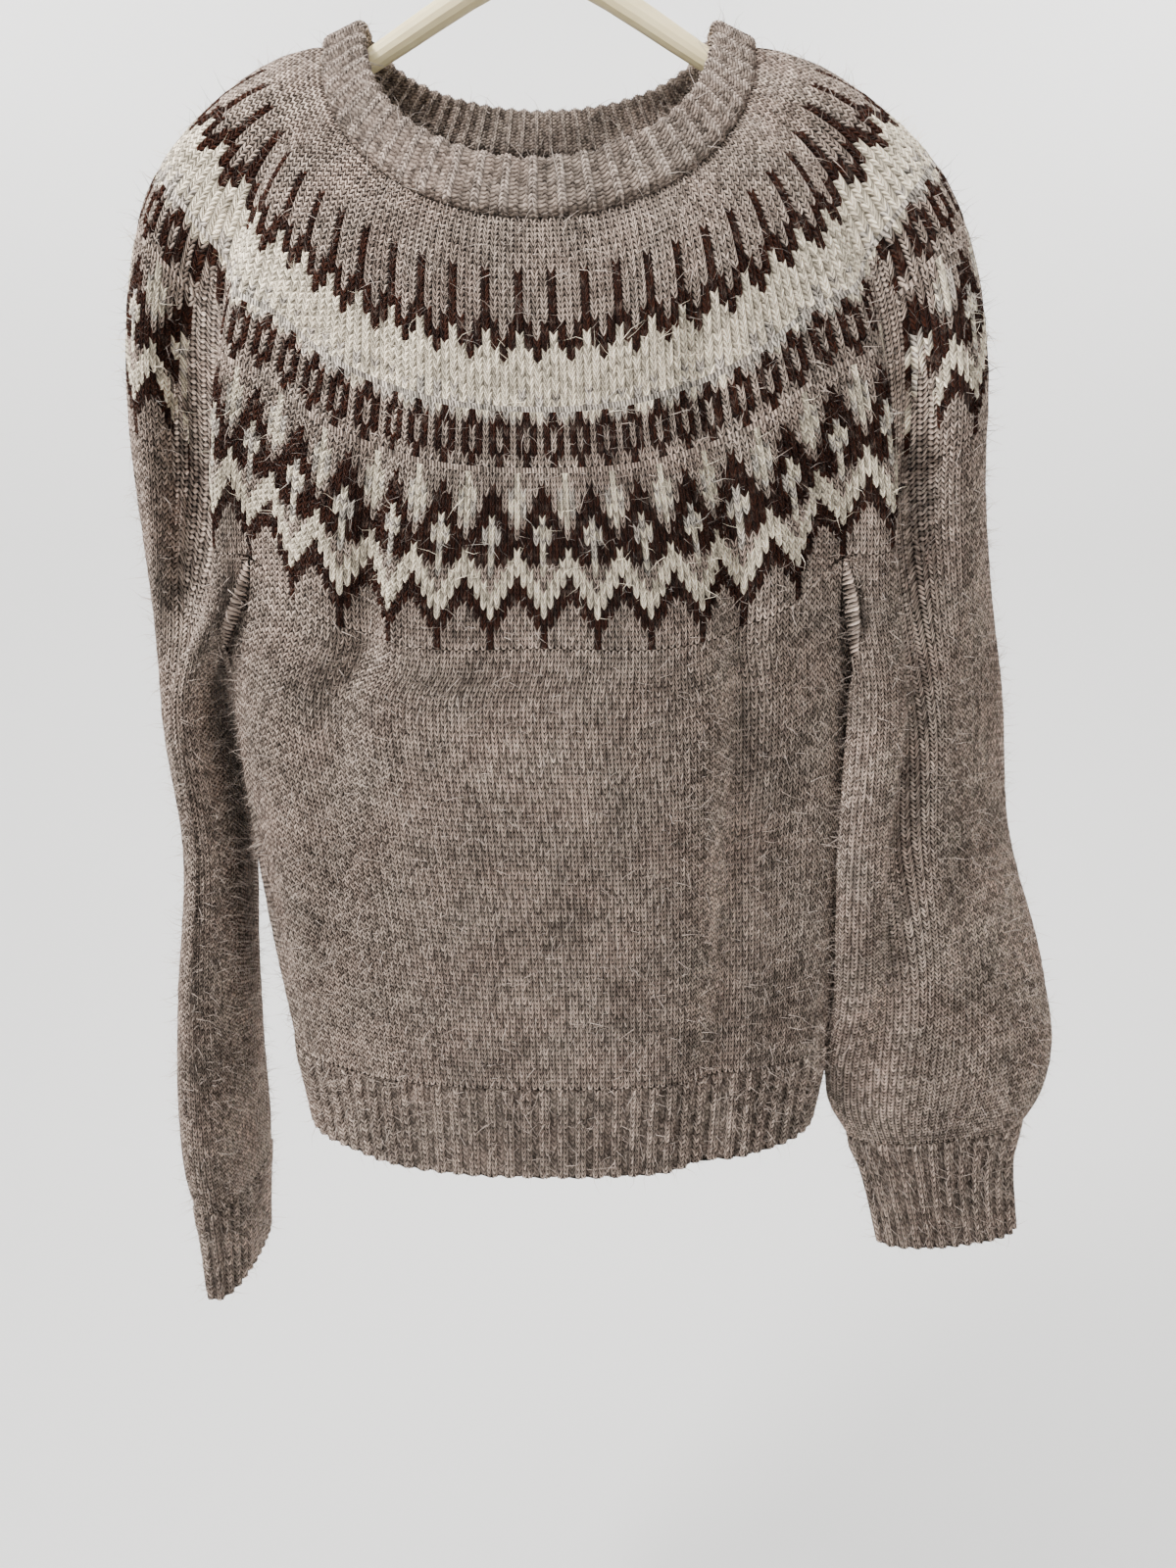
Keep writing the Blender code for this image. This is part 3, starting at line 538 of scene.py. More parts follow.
def yoke_surface(stitches, levels):
    """Each wale leaves the neck at the shoulder's slope and arrives at the lower edge hanging straight."""
    top = neck_line(NECK_SEAM, stitches)
    middle = yoke_edge(stitches, YOKE_MIDDLE)
    end = yoke_edge(stitches)
    ahead = np.clip(top[:, 1] / NECK_SEAM["front_y"], 0.0, 1.0)
    behind = np.clip(top[:, 1] / NECK_SEAM["back_y"], 0.0, 1.0)
    slope = SLOPE_SIDE + (SLOPE_FRONT - SLOPE_SIDE) * ahead**SLOPE_POWER
    slope = np.radians(slope + (SLOPE_BACK - SLOPE_SIDE) * behind**SLOPE_POWER)
    out = end[:, :2] - top[:, :2] + top[:, :2] * LEAVE_PULL
    out = out / np.linalg.norm(out, axis=1, keepdims=True)
    leave = np.column_stack([out * np.cos(slope)[:, None], -np.sin(slope)])
    reach = np.linalg.norm(end - top, axis=1)[:, None]
    arrive = np.array([0.0, 0.0, -1.0]) * reach * ARRIVE_LENGTH
    dense = smooth_through(
        (0.0, MIDDLE_SHARE, 1.0),
        np.array([top, middle, end]),
        np.linspace(0.0, 1.0, YOKE_PATH_POINTS),
        start_slope=leave * reach * LEAVE_LENGTH,
        end_slope=arrive,
    )
    grid = even_levels(dense, levels, np.full(len(stitches), NECK_GAP))
    return add_folds(grid, stitches, YOKE_FOLDS, YOKE_ROUND)


def oval(middle, half_wide, front_deep, back_deep, square, turned, half_round):
    """Points round a squared oval that lies flat, turned stitches from its -X end by way of its front."""
    angles = np.linspace(-math.pi / 2, math.pi / 2, OVAL_POINTS)
    across = np.sign(np.sin(angles)) * np.abs(np.sin(angles)) ** (2 / square)
    deep = np.abs(np.cos(angles)) ** (2 / square)
    x = middle + across * half_wide
    front = even_shares(np.stack([x, front_deep * deep], axis=1), np.clip(turned / half_round, 0.0, 1.0))
    back = even_shares(np.stack([x, back_deep * deep], axis=1), np.clip(2.0 - turned / half_round, 0.0, 1.0))
    return np.where((turned <= half_round)[:, None], front, back)


def body_section(row, stitches):
    """One level of the body. Its side lines are a quarter of the stitches away from the front centre."""
    z, left_x, right_x, front_y, back_y, square = row
    half = BODY_ROUND / 2
    turned = np.mod(np.asarray(stitches, float) + half / 2, BODY_ROUND)
    flat = oval((left_x + right_x) / 2, (right_x - left_x) / 2, front_y, back_y, square, turned, half)
    return np.column_stack([flat, np.full(len(flat), z)])


def sleeve_section(side, row, stitches):
    """One level of a sleeve. Stitches are counted from the front end of the underarm graft."""
    z, centre_x, centre_y, half_wide, half_thick, turn = row
    sign = 1.0 if side == "right" else -1.0
    half = SLEEVE_ROUND / 2
    inner_stitch = OUTER_STITCH[side] - FRONT / 2 - half
    turned = np.mod(np.asarray(stitches, float) - inner_stitch, SLEEVE_ROUND)
    flat = oval(0.0, half_wide, -half_thick, half_thick, SLEEVE_SQUARE, turned, half)
    swing = math.radians(turn)
    x = flat[:, 0] * math.cos(swing) - flat[:, 1] * math.sin(swing)
    y = flat[:, 0] * math.sin(swing) + flat[:, 1] * math.cos(swing)
    return np.column_stack([centre_x + sign * x, centre_y + y, np.full(len(flat), z)])


def hanging_paths(rings, start_slope):
    """Dense paths down through the rings, one for each stitch."""
    rings = np.array(rings)
    gaps = np.linalg.norm(np.diff(rings, axis=0), axis=2).mean(axis=1)
    knots = np.concatenate([[0.0], np.cumsum(gaps)])
    dense = np.linspace(0.0, knots[-1], HANGING_PATH_POINTS)
    return smooth_through(knots, rings, dense, start_slope=start_slope)


def body_surface(stitches, levels):
    """The body hangs from the yoke's front and back edges and, between them, from the underarm grafts."""
    half_front = FRONT / 2
    turned = centred(stitches, BODY_ROUND)
    top = np.zeros((len(turned), 3))
    lean = np.zeros((len(turned), 3))
    lean[:, 2] = -1.0
    for index, stitch in enumerate(turned):
        side = "right" if stitch > 0 else "left"
        sign = 1.0 if stitch > 0 else -1.0
        along = abs(stitch) - half_front
        if along <= 0:
            top[index] = yoke_edge([stitch])[0]
        elif along < UNDERARM:
            top[index] = underarm_line(side, [along / UNDERARM])[0]
            lean[index] -= np.array(UNDERARM_LEAN) * (sign, 1.0, 1.0)
            top[index] -= np.array(UNDERARM_ASIDE) * (sign, 1.0, 1.0)
        else:
            top[index] = yoke_edge([stitch + sign * (SLEEVE - UNDERARM)])[0]
    rings = [top] + [body_section(row, stitches) for row in BODY_SECTIONS]
    corners = (half_front, half_front + UNDERARM, -half_front, -half_front - UNDERARM)
    grid = even_levels(hanging_paths(rings, lean), levels, seam_gaps(turned, corners, BODY_ROUND))
    return add_folds(grid, stitches, BODY_FOLDS, BODY_ROUND)


def sleeve_surface(side, stitches, levels):
    """A sleeve hangs from the yoke's edge over the shoulder, and from its underarm graft."""
    sign = 1.0 if side == "right" else -1.0
    wrapped = np.mod(np.asarray(stitches, float), SLEEVE_ROUND)
    top = np.zeros((len(wrapped), 3))
    lean = np.zeros((len(wrapped), 3))
    lean[:, 2] = -1.0
    for index, stitch in enumerate(wrapped):
        if stitch <= SLEEVE:
            top[index] = yoke_edge([sign * (FRONT / 2 + stitch)])[0]
        else:
            share = 1.0 - (stitch - SLEEVE) / UNDERARM
            top[index] = underarm_line(side, [share])[0]
            lean[index] += np.array(UNDERARM_LEAN) * (sign, 1.0, 1.0)
            top[index] += np.array(UNDERARM_ASIDE) * (sign, 1.0, 1.0)
    rings = [top] + [sleeve_section(side, row, stitches) for row in SLEEVE_SECTIONS[side]]
    gaps = seam_gaps(wrapped, (0, SLEEVE), SLEEVE_ROUND)
    grid = even_levels(hanging_paths(rings, lean), levels, gaps)
    return add_folds(grid, stitches, SLEEVE_FOLDS[side], SLEEVE_ROUND)


def rib_surface(rings, levels):
    """A rib hangs straight down through its rings."""
    down = np.zeros_like(rings[0])
    down[:, 2] = -1.0
    return even_levels(hanging_paths(rings, down), levels, np.full(len(down), SEAM_GAP))


def neck_rib_surface(stitches):
    """The folded neckband's skin, from its seam up the outside, over the fold and down the inside."""
    seam = neck_line(NECK_SEAM, stitches)
    fold = neck_line(NECK_FOLD, stitches)
    rise = fold - seam
    height = np.linalg.norm(rise, axis=1, keepdims=True)
    rise = rise / height
    along = np.roll(seam, -1, axis=0) - np.roll(seam, 1, axis=0)
    out = np.cross(along, rise)
    out = out / np.linalg.norm(out, axis=1, keepdims=True)
    radius = BAND_THICK / 2
    low = seam + rise * radius
    high = fold - rise * radius

    def round_end(centre, first, last, count):
        turns = np.radians(np.linspace(first, last, count))
        return [centre + (rise * math.sin(turn) + out * math.cos(turn)) * radius for turn in turns]

    shares = np.linspace(0.0, 1.0, NECK_ROWS + 1)[1:-1]
    rings = round_end(low, -90.0, 0.0, BAND_SEAM_POINTS)
    rings.extend(low + (high - low) * share + out * radius for share in shares)
    rings.extend(round_end(high, 0.0, 180.0, BAND_FOLD_POINTS))
    rings.extend(low + (high - low) * share - out * radius for share in shares[::-1])
    rings.extend(round_end(low, 180.0, 270.0, BAND_SEAM_POINTS)[:-1])
    return np.array(rings)


class Skin:
    """Points and faces gathered for one piece, with the stitch and course at each point and corner."""

    def __init__(self):
        self.points = []
        self.places = []
        self.outwards = []
        self.rims = []
        self.faces = []
        self.corners = []
        self.yarns = []
        self.count = 0

    def add_points(self, grid, outwards, stitches, rows, relief):
        """Adds a grid of points. Relief is how much the stitches stand out in the mesh, from 0 to 1."""
        index = np.arange(grid.shape[0] * grid.shape[1]).reshape(grid.shape[:2]) + self.count
        self.count += index.size
        self.points.append(grid.reshape(-1, 3))
        self.outwards.append(outwards.reshape(-1, 3))
        across, down = np.meshgrid(stitches, rows)
        relief = np.broadcast_to(np.reshape(relief, (-1, 1)), across.shape)
        self.places.append(np.stack([across, down, relief], axis=2).reshape(-1, 3))
        return index

    def add_quads(self, index, stitches, rows, yarns, closing, outward=True):
        """Faces between neighbouring points of a closed round grid, whose last stitch ends at closing."""
        beside = np.roll(index, -1, axis=1)
        onward = np.append(stitches[1:], closing)
        quads = np.stack([index[:-1], index[1:], beside[1:], beside[:-1]], axis=2)
        u = np.stack([stitches, stitches, onward, onward], axis=1)[None].repeat(len(rows) - 1, axis=0)
        v = np.stack([rows[:-1], rows[1:], rows[1:], rows[:-1]], axis=1)[:, None]
        corners = np.stack([u, v.repeat(len(stitches), axis=1)], axis=3)
        if not outward:
            quads = quads[:, :, ::-1]
            corners = corners[:, :, ::-1]
        self.faces.extend(quads.reshape(-1, 4).tolist())
        self.corners.append(corners.reshape(-1, 2))
        self.yarns.append(yarns.reshape(-1, 4))

    def zip_loops(self, upper, lower, row, closing, yarn):
        """Triangles between two closed loops of different counts, in the order of their places round.
        Each loop is (points, places), and both end at the closing place."""
        above, above_at = upper[0], np.append(upper[1], closing)
        below, below_at = lower[0], np.append(lower[1], closing)
        faces = []
        corners = []
        first = 0
        second = 0
        while first < len(above) or second < len(below):
            here = above[first % len(above)]
            there = below[second % len(below)]
            corners.extend(((above_at[first], row), (below_at[second], row)))
            next_first = above_at[min(first + 1, len(above))]
            next_second = below_at[min(second + 1, len(below))]
            if second == len(below) or (first < len(above) and next_first <= next_second):
                first += 1
                faces.append((here, there, above[first % len(above)]))
                corners.append((next_first, row))
            else:
                second += 1
                faces.append((here, there, below[second % len(below)]))
                corners.append((next_second, row))
        self.faces.extend(faces)
        self.corners.append(np.array(corners))
        self.yarns.append(np.tile(yarn, (len(faces), 1)))

    def mark_rims(self, mesh):
        """The edges round a rim are sharp, so that the cloth's face is shaded flat right up to its seam."""
        on_rim = np.zeros(self.count, bool)
        for rim in self.rims:
            on_rim[rim] = True
        ends = np.empty(len(mesh.edges) * 2, np.int32)
        mesh.edges.foreach_get("vertices", ends)
        sharp = mesh.attributes.new("sharp_edge", "BOOLEAN", "EDGE")
        sharp.data.foreach_set("value", on_rim[ends.reshape(-1, 2)].all(axis=1))

    def object(self, name, material):
        mesh = bpy.data.meshes.new(name)
        mesh.from_pydata(np.concatenate(self.points).tolist(), [], self.faces)
        mesh.uv_layers.new(name="stitches").data.foreach_set("uv", np.concatenate(self.corners).ravel())
        yarn = mesh.attributes.new("yarn", "FLOAT_COLOR", "FACE")
        yarn.data.foreach_set("color", np.concatenate(self.yarns).ravel())
        for label, values in (("stitch_place", self.places), ("outward", self.outwards)):
            kept = mesh.attributes.new(label, "FLOAT_VECTOR", "POINT")
            kept.data.foreach_set("vector", np.concatenate(values).ravel())
        self.mark_rims(mesh)
        mesh.materials.append(material)
        mesh.shade_smooth()
        return linked(name, mesh)


def yarn_value(letter):
    colour, heather = YARNS[letter]
    return (*colour, heather)


def quarter_columns(stitches):
    """Where each column of points is, in stitches. Surfaces are read half a stitch before it, so that the
    piece's start is the middle of stitch 0."""
    return np.arange(COLUMNS_PER_STITCH * stitches) / COLUMNS_PER_STITCH


def sheared(grid):
    """A wale's edges ride up and its middle hangs down, which makes every course a row of Vs."""
    rows, columns = grid.shape[:2]
    shift = np.array([-WALE_LIFT, 0.0, WALE_LIFT, 0.0])[np.arange(columns) % COLUMNS_PER_STITCH]
    places = np.arange(rows, dtype=float)[:, None] + shift[None, :]
    places[0] = 0.0
    places[-1] = rows - 1.0
    below = np.minimum(np.floor(places).astype(int), rows - 2)
    share = (places - below)[:, :, None]
    column = np.arange(columns)[None, :]
    return grid[below, column] * (1 - share) + grid[below + 1, column] * share


def chart_colours(courses, stitches, repeat, picks):
    """The yarn of each face, from the chart. The mixed yarn is cream in some stitches and grey in others."""
    rows = []
    for count, half in courses:
        whole = half + half[-2:0:-1]
        rows.extend([[whole[stitch % repeat] for stitch in range(stitches)]] * count)
    values = np.array([[yarn_value(letter) for letter in row] for row in rows])
    mixed = np.array(rows) == "l"
    lighter = picks.random((len(rows), stitches)) < MIXED_CREAM
    values[mixed & lighter] = yarn_value("w")
    return values.repeat(COLUMNS_PER_STITCH, axis=1)


def rib_colours(rows, stitches, letters):
    """The yarn of each face of a rib. There is one letter for each stitch of its repeat."""
    row = [yarn_value(letters[stitch % RIB_REPEAT]) for stitch in range(stitches)]
    return np.tile(np.array(row), (rows, 1, 1)).repeat(COLUMNS_PER_STITCH, axis=1)


def close_inside(skin, surface, first_rim, last_rim, total, rows, from_neck=False):
    """Adds the coarse inner face, and joins it to the outer one round both ends. Each rim is (points,
    places), and total is the stitches round."""
    stitches = np.arange(0.0, total, INNER_STITCHES)
    levels = rows // INNER_ROWS
    inner = surface(stitches - 0.5, levels)
    outwards = outward_normals(inner, from_neck)
    places = np.linspace(0.0, rows, levels + 1)
    index = skin.add_points(inner - outwards * WALL, outwards, stitches, places, 0.0)
    yarn = np.array(yarn_value("g"))
    yarns = np.tile(yarn, (levels * len(stitches), 1))
    skin.add_quads(index, stitches, places, yarns, float(total), outward=False)
    skin.zip_loops((index[0], stitches), first_rim, 0.0, float(total), yarn)
    skin.zip_loops(last_rim, (index[-1], stitches), float(rows), float(total), yarn)
    skin.rims.extend((index[0], index[-1], first_rim[0], last_rim[0]))


def knitted_piece(name, surface, surface_round, stitches, rows, material, yarns):
    """One plain or ribbed tube. Its surface counts surface_round stitches round, and the piece its own."""
    scale = surface_round / stitches
    columns = quarter_columns(stitches)
    courses = np.arange(rows + 1, dtype=float)

    def own_surface(own_stitches, levels):
        return surface(own_stitches * scale, levels)

    level = own_surface(columns - 0.5, rows)
    skin = Skin()
    index = skin.add_points(sheared(level), outward_normals(level), columns, courses, 1.0)
    skin.add_quads(index, columns, courses, yarns, float(stitches))
    close_inside(skin, own_surface, (index[0], columns), (index[-1], columns), stitches, rows)
    return skin.object(name, material)


def build_yoke(material, picks):
    """Three bands of knitting, each with more stitches than the one above, joined by one plain course."""
    skin = Skin()
    first = 0
    ends = []
    for stitches, repeat, courses in YOKE_BANDS:
        rows = sum(count for count, _ in courses)
        columns = quarter_columns(stitches)
        scale = YOKE_ROUND / stitches
        whole = yoke_surface((columns - 0.5) * scale, YOKE_ROWS)
        places = np.arange(first, first + rows + 1, dtype=float)
        relief = np.ones(rows + 1)
        relief[[0, -1]] = JOINING_RELIEF
        part = slice(first, first + rows + 1)
        outwards = outward_normals(whole, from_neck=True)[part]
        index = skin.add_points(sheared(whole[part]), outwards, columns, places, relief)
        yarns = chart_colours(courses, stitches, repeat, picks)
        skin.add_quads(index, columns, places, yarns, float(stitches))
        ends.append(((index[0], columns * scale), (index[-1], columns * scale)))
        first += rows + 1
    for above, below, letter in zip(ends, ends[1:], JOINING_YARNS):
        skin.zip_loops(above[1], below[0], MID_COURSE, YOKE_ROUND, np.array(yarn_value(letter)))
    close_inside(skin, yoke_surface, ends[0][0], ends[-1][1], YOKE_ROUND, YOKE_ROWS, from_neck=True)
    return skin.object("yoke_knit", material)


def build_neck_rib(material):
    """The neckband is one closed skin with no inner face: it goes up the outside and down the inside."""
    columns = quarter_columns(NECK_STITCHES)
    rings = neck_rib_surface((columns - 0.5) * YOKE_ROUND / NECK_STITCHES)
    closed = np.concatenate([rings, rings[:1]])
    rows = np.arange(len(closed), dtype=float)
    outwards = -outward_normals(closed)[:-1]
    skin = Skin()
    index = skin.add_points(rings, outwards, columns, rows[:-1], 1.0)
    index = np.concatenate([index, index[:1]])
    # The purled stitches get a darker copy of the yarn, as painted shade.
    yarns = rib_colours(len(rows) - 1, NECK_STITCHES, "npp")
    skin.add_quads(index[::-1], columns, rows[::-1], yarns, float(NECK_STITCHES))
    return skin.object("neck_rib_knit", material)


# Node trees.


def link_in(tree, node, socket, value):
    """Sets one input of a node, from another node's output or from a number."""
    if isinstance(value, Value):
        value = value.socket
    if isinstance(value, bpy.types.NodeSocket):
        tree.links.new(value, node.inputs[socket])
    else:
        node.inputs[socket].default_value = value


def new_node(tree, kind, inputs=None, **settings):
    """A node with its own settings made, and its inputs linked or set."""
    node = tree.nodes.new(kind)
    for name, value in settings.items():
        setattr(node, name, value)
    for socket, value in (inputs or {}).items():
        link_in(tree, node, socket, value)
    return node


def maths(tree, operation, *values):
    node = new_node(tree, "ShaderNodeMath", dict(enumerate(values)), operation=operation)
    return Value(tree, node.outputs[0])


class Value:
    """A node's output. A sign between it and another one, or a plain number, makes a Math node."""

    def __init__(self, tree, socket):
        self.tree = tree
        self.socket = socket

    def __add__(self, other):
        return maths(self.tree, "ADD", self, other)

    def __sub__(self, other):
        return maths(self.tree, "SUBTRACT", self, other)

    def __rsub__(self, other):
        return maths(self.tree, "SUBTRACT", other, self)

    def __mul__(self, other):
        return maths(self.tree, "MULTIPLY", self, other)

    def __truediv__(self, other):
        return maths(self.tree, "DIVIDE", self, other)

    def take(self, operation, *others):
        return maths(self.tree, operation, self, *others)

    def turns(self, operation):
        """The sine or cosine of this many whole turns."""
        return maths(self.tree, operation, self * (2 * math.pi))

    def stretched(self, low, high, new_low, new_high):
        """This value moved from one range into another, and held to its ends."""
        inputs = dict(enumerate((self, low, high, new_low, new_high)))
        node = new_node(self.tree, "ShaderNodeMapRange", inputs)
        return Value(self.tree, node.outputs[0])


def from_middle(value):
    """0 in the middle of every whole step of value, and 1 at its ends."""
    return (value.take("FRACT") - 0.5).take("ABSOLUTE") * 2.0


def separated(tree, vector):
    node = new_node(tree, "ShaderNodeSeparateXYZ", {0: vector})
    return [Value(tree, socket) for socket in node.outputs]


def combined(tree, *values):
    return new_node(tree, "ShaderNodeCombineXYZ", dict(enumerate(values))).outputs[0]


def noise(tree, coordinates, scale, detail):
    inputs = {"Vector": coordinates, "Scale": scale, "Detail": detail}
    return Value(tree, new_node(tree, "ShaderNodeTexNoise", inputs).outputs[0])


def pattern(tree, coordinates, sizes):
    """Noise in one of the patterns above."""
    scale, detail, *ranges = sizes
    return noise(tree, coordinates, scale, detail).stretched(*ranges)


def named_vector(tree, name):
    """A vector that the skin's own points carry."""
    kind = "GeometryNodeInputNamedAttribute"
    return new_node(tree, kind, {"Name": name}, data_type="FLOAT_VECTOR").outputs["Attribute"]


def new_geometry_tree(name, sizes):
    """A Geometry Nodes tree, and its inputs by name: the geometry, the sizes and the material."""
    tree = bpy.data.node_groups.new(name, "GeometryNodeTree")
    tree.interface.new_socket("Geometry", in_out="INPUT", socket_type="NodeSocketGeometry")
    tree.interface.new_socket("Geometry", in_out="OUTPUT", socket_type="NodeSocketGeometry")
    for size in sizes:
        tree.interface.new_socket(size, in_out="INPUT", socket_type="NodeSocketFloat")
    tree.interface.new_socket("Material", in_out="INPUT", socket_type="NodeSocketMaterial")
    given = new_node(tree, "NodeGroupInput")
    return tree, {socket.name: Value(tree, socket) for socket in given.outputs if socket.name}


def end_tree(tree, given, geometry):
    """Every tree ends in Realize Instances and Set Material."""
    real = new_node(tree, "GeometryNodeRealizeInstances", {"Geometry": geometry})
    inputs = {"Geometry": real.outputs["Geometry"], "Material": given["Material"]}
    paint = new_node(tree, "GeometryNodeSetMaterial", inputs)
    new_node(tree, "NodeGroupOutput", {"Geometry": paint.outputs["Geometry"]})


def moved(tree, geometry, offset):
    node = new_node(tree, "GeometryNodeSetPosition", {"Geometry": geometry, "Offset": offset})
    return node.outputs["Geometry"]


def stitch_relief_tree():
    """Pushes a skin's points outwards: a rope for each leg of a stitch, the ribs, and the hand's wobble."""
    sizes = ("Leg height", "Rib height", "Rib repeat", "Rib middle", "Uneven height")
    tree, given = new_geometry_tree("stitch_relief", sizes)
    across, _, share = separated(tree, named_vector(tree, "stitch_place"))
    legs = 0.5 - from_middle(across * 2.0)
    ropes = (legs - from_middle(across) * WALE_GROOVE) * given["Leg height"]
    wave = ((across - given["Rib middle"]) / given["Rib repeat"]).turns("COSINE")
    position = new_node(tree, "GeometryNodeInputPosition").outputs[0]
    uneven = (noise(tree, position, *UNEVEN_NOISE) - 0.5) * given["Uneven height"]
    height = (ropes + wave * given["Rib height"] + uneven) * share
    inputs = {0: named_vector(tree, "outward"), "Scale": height}
    offset = new_node(tree, "ShaderNodeVectorMath", inputs, operation="SCALE").outputs["Vector"]
    end_tree(tree, given, moved(tree, given["Geometry"], offset))
    return tree


def wool_fibre_tree():
    """Loose fibres on the outer face: slim bent spikes, each in the colour of the yarn it grows from."""
    sizes = ("Fibres per square metre", "Length", "Radius", "Bend", "Seed")
    tree, given = new_geometry_tree("wool_fibres", sizes)
    outer = separated(tree, named_vector(tree, "stitch_place"))[2]
    inputs = {
        "Mesh": given["Geometry"],
        "Density": given["Fibres per square metre"] * outer,
        "Seed": given["Seed"],
    }
    points = new_node(tree, "GeometryNodeDistributePointsOnFaces", inputs)
    inputs = {
        "Vertices": FIBRE_SIDES,
        "Side Segments": FIBRE_SEGMENTS,
        "Radius Top": 0.0,
        "Radius Bottom": given["Radius"],
        "Depth": given["Length"],
    }
    spike = new_node(tree, "GeometryNodeMeshCone", inputs)
    position = new_node(tree, "GeometryNodeInputPosition").outputs[0]
    share = separated(tree, position)[2] / given["Length"]
    bent = moved(tree, spike.outputs["Mesh"], combined(tree, share * share * given["Bend"]))
    inputs = {
        "Min": (-FIBRE_TILT, -FIBRE_TILT, 0.0),
        "Max": (FIBRE_TILT, FIBRE_TILT, 2 * math.pi),
        "Seed": given["Seed"],
    }
    tilt = new_node(tree, "FunctionNodeRandomValue", inputs, data_type="FLOAT_VECTOR")
    spin = new_node(tree, "FunctionNodeEulerToRotation", {0: tilt.outputs[0]})
    inputs = {0: points.outputs["Rotation"], 1: spin.outputs[0]}
    turn = new_node(tree, "FunctionNodeRotateRotation", inputs, rotation_space="LOCAL")
    # A random plain number has its range at sockets 2 and 3, and comes out at 1.
    shortest, longest = FIBRE_SHARES
    inputs = {2: shortest, 3: longest, "Seed": given["Seed"]}
    grow = new_node(tree, "FunctionNodeRandomValue", inputs)
    inputs = {
        "Points": points.outputs["Points"],
        "Instance": bent,
        "Rotation": turn.outputs[0],
        "Scale": grow.outputs[1],
    }
    copies = new_node(tree, "GeometryNodeInstanceOnPoints", inputs)
    end_tree(tree, given, copies.outputs["Instances"])
    return tree


def made_plain(obj, tree, settings, name):
    """The tree's result on obj, as a plain mesh object. Inputs are set by their sockets' identifiers."""
    modifier = obj.modifiers.new(tree.name, "NODES")
    modifier.node_group = tree
    for item in tree.interface.items_tree:
        if item.item_type == "SOCKET" and item.in_out == "INPUT" and item.name in settings:
            modifier[item.identifier] = settings[item.name]
    graph = bpy.context.evaluated_depsgraph_get()
    evaluated = obj.evaluated_get(graph)
    mesh = bpy.data.meshes.new_from_object(evaluated, preserve_all_data_layers=True, depsgraph=graph)
    obj.modifiers.remove(modifier)
    mesh.name = name
    return linked(name, mesh)


def with_relief(obj, tree, settings):
    """Swaps a flat skin for one with its stitches raised."""
    name = obj.name
    material = obj.data.materials[0]
    plain = made_plain(obj, tree, {**settings, "Material": material}, name)
    bpy.data.objects.remove(obj, do_unlink=True)
    plain.name = name
    return plain


# Materials.


def new_material(name):
    """A material, its tree, its shader, and the object's own coordinates."""
    material = bpy.data.materials.new(name)
    material.use_nodes = True
    tree = material.node_tree
    coordinates = new_node(tree, "ShaderNodeTexCoord").outputs["Object"]
    return material, tree, tree.nodes["Principled BSDF"], coordinates


def mixed_colour(tree, factor, first, second, blend="MIX"):
    """Two colours mixed. A Mix node's colours go in at sockets 6 and 7, and come out at 2."""
    inputs = {0: factor, 6: first, 7: second}
    return new_node(tree, "ShaderNodeMix", inputs, data_type="RGBA", blend_type=blend).outputs[2]


def finish_shader(tree, shader, colour, rough, height, bump_sizes):
    """Links a material's colour, roughness and bump."""
    strength, depth = bump_sizes
    inputs = {"Height": height, "Strength": strength, "Distance": depth}
    bump = new_node(tree, "ShaderNodeBump", inputs)
    link_in(tree, shader, "Base Color", colour)
    link_in(tree, shader, "Roughness", rough)
    link_in(tree, shader, "Normal", bump.outputs[0])


def stitch_legs(across, rows_at, wander, knit_wales):
    """How plump the yarn is, from 0 in a gap to 1 on a leg's crest. A stitch has two slanted legs. Of every
    three wales in a rib, knit_wales are knitted and the rest are purled, as rows of low wavy bumps."""
    off_row = from_middle(rows_at)
    side = (across.take("FRACT") - 0.5).take("SIGN")
    slant = (rows_at.take("FRACT") - 0.5) * LEG_SLANT
    legs_at = across * 2.0 + wander
    off_leg = (legs_at.take("FRACT") + side * slant - 0.5).take("ABSOLUTE") * 2.0
    fallen = 1.0 - off_leg * off_leg * LEG_FALL - off_row * off_row * COURSE_FALL
    plump = fallen.take("MAXIMUM", 0.0)
    if not knit_wales:
        return plump
    in_rib = (across / RIB_REPEAT).take("FRACT") * RIB_REPEAT
    purled = in_rib.take("GREATER_THAN", knit_wales)
    off_bump = from_middle(rows_at + across.turns("SINE") * PURL_WAVE)
    purl_bump = PURL_TOP - off_bump * off_bump * PURL_FALL
    return plump * (1.0 - purled) + purl_bump * purled


def stitch_chance(tree, legs_at, rows_at):
    """A number between 0 and 1 that each leg of each stitch has to itself."""
    cell = combined(tree, legs_at.take("FLOOR"), rows_at.take("FLOOR"))
    chance = new_node(tree, "ShaderNodeTexWhiteNoise", {"Vector": cell}, noise_dimensions="2D")
    return Value(tree, chance.outputs["Value"])


def heathered(tree, coordinates, colour, heather):
    """The yarn's colour, warmer and cooler in places, with pale streaks and dark flecks in it."""
    warmth = pattern(tree, coordinates, WARM_PATCHES)
    tint = mixed_colour(tree, warmth, COOL_TINT, WARM_TINT)
    colour = mixed_colour(tree, heather, colour, tint, "MULTIPLY")
    pale = pattern(tree, coordinates, PALE_STREAKS) * heather
    colour = mixed_colour(tree, pale, colour, PALE_STREAK)
    dark = pattern(tree, coordinates, DARK_FLECKS) * heather
    return mixed_colour(tree, dark, colour, DARK_FLECK)


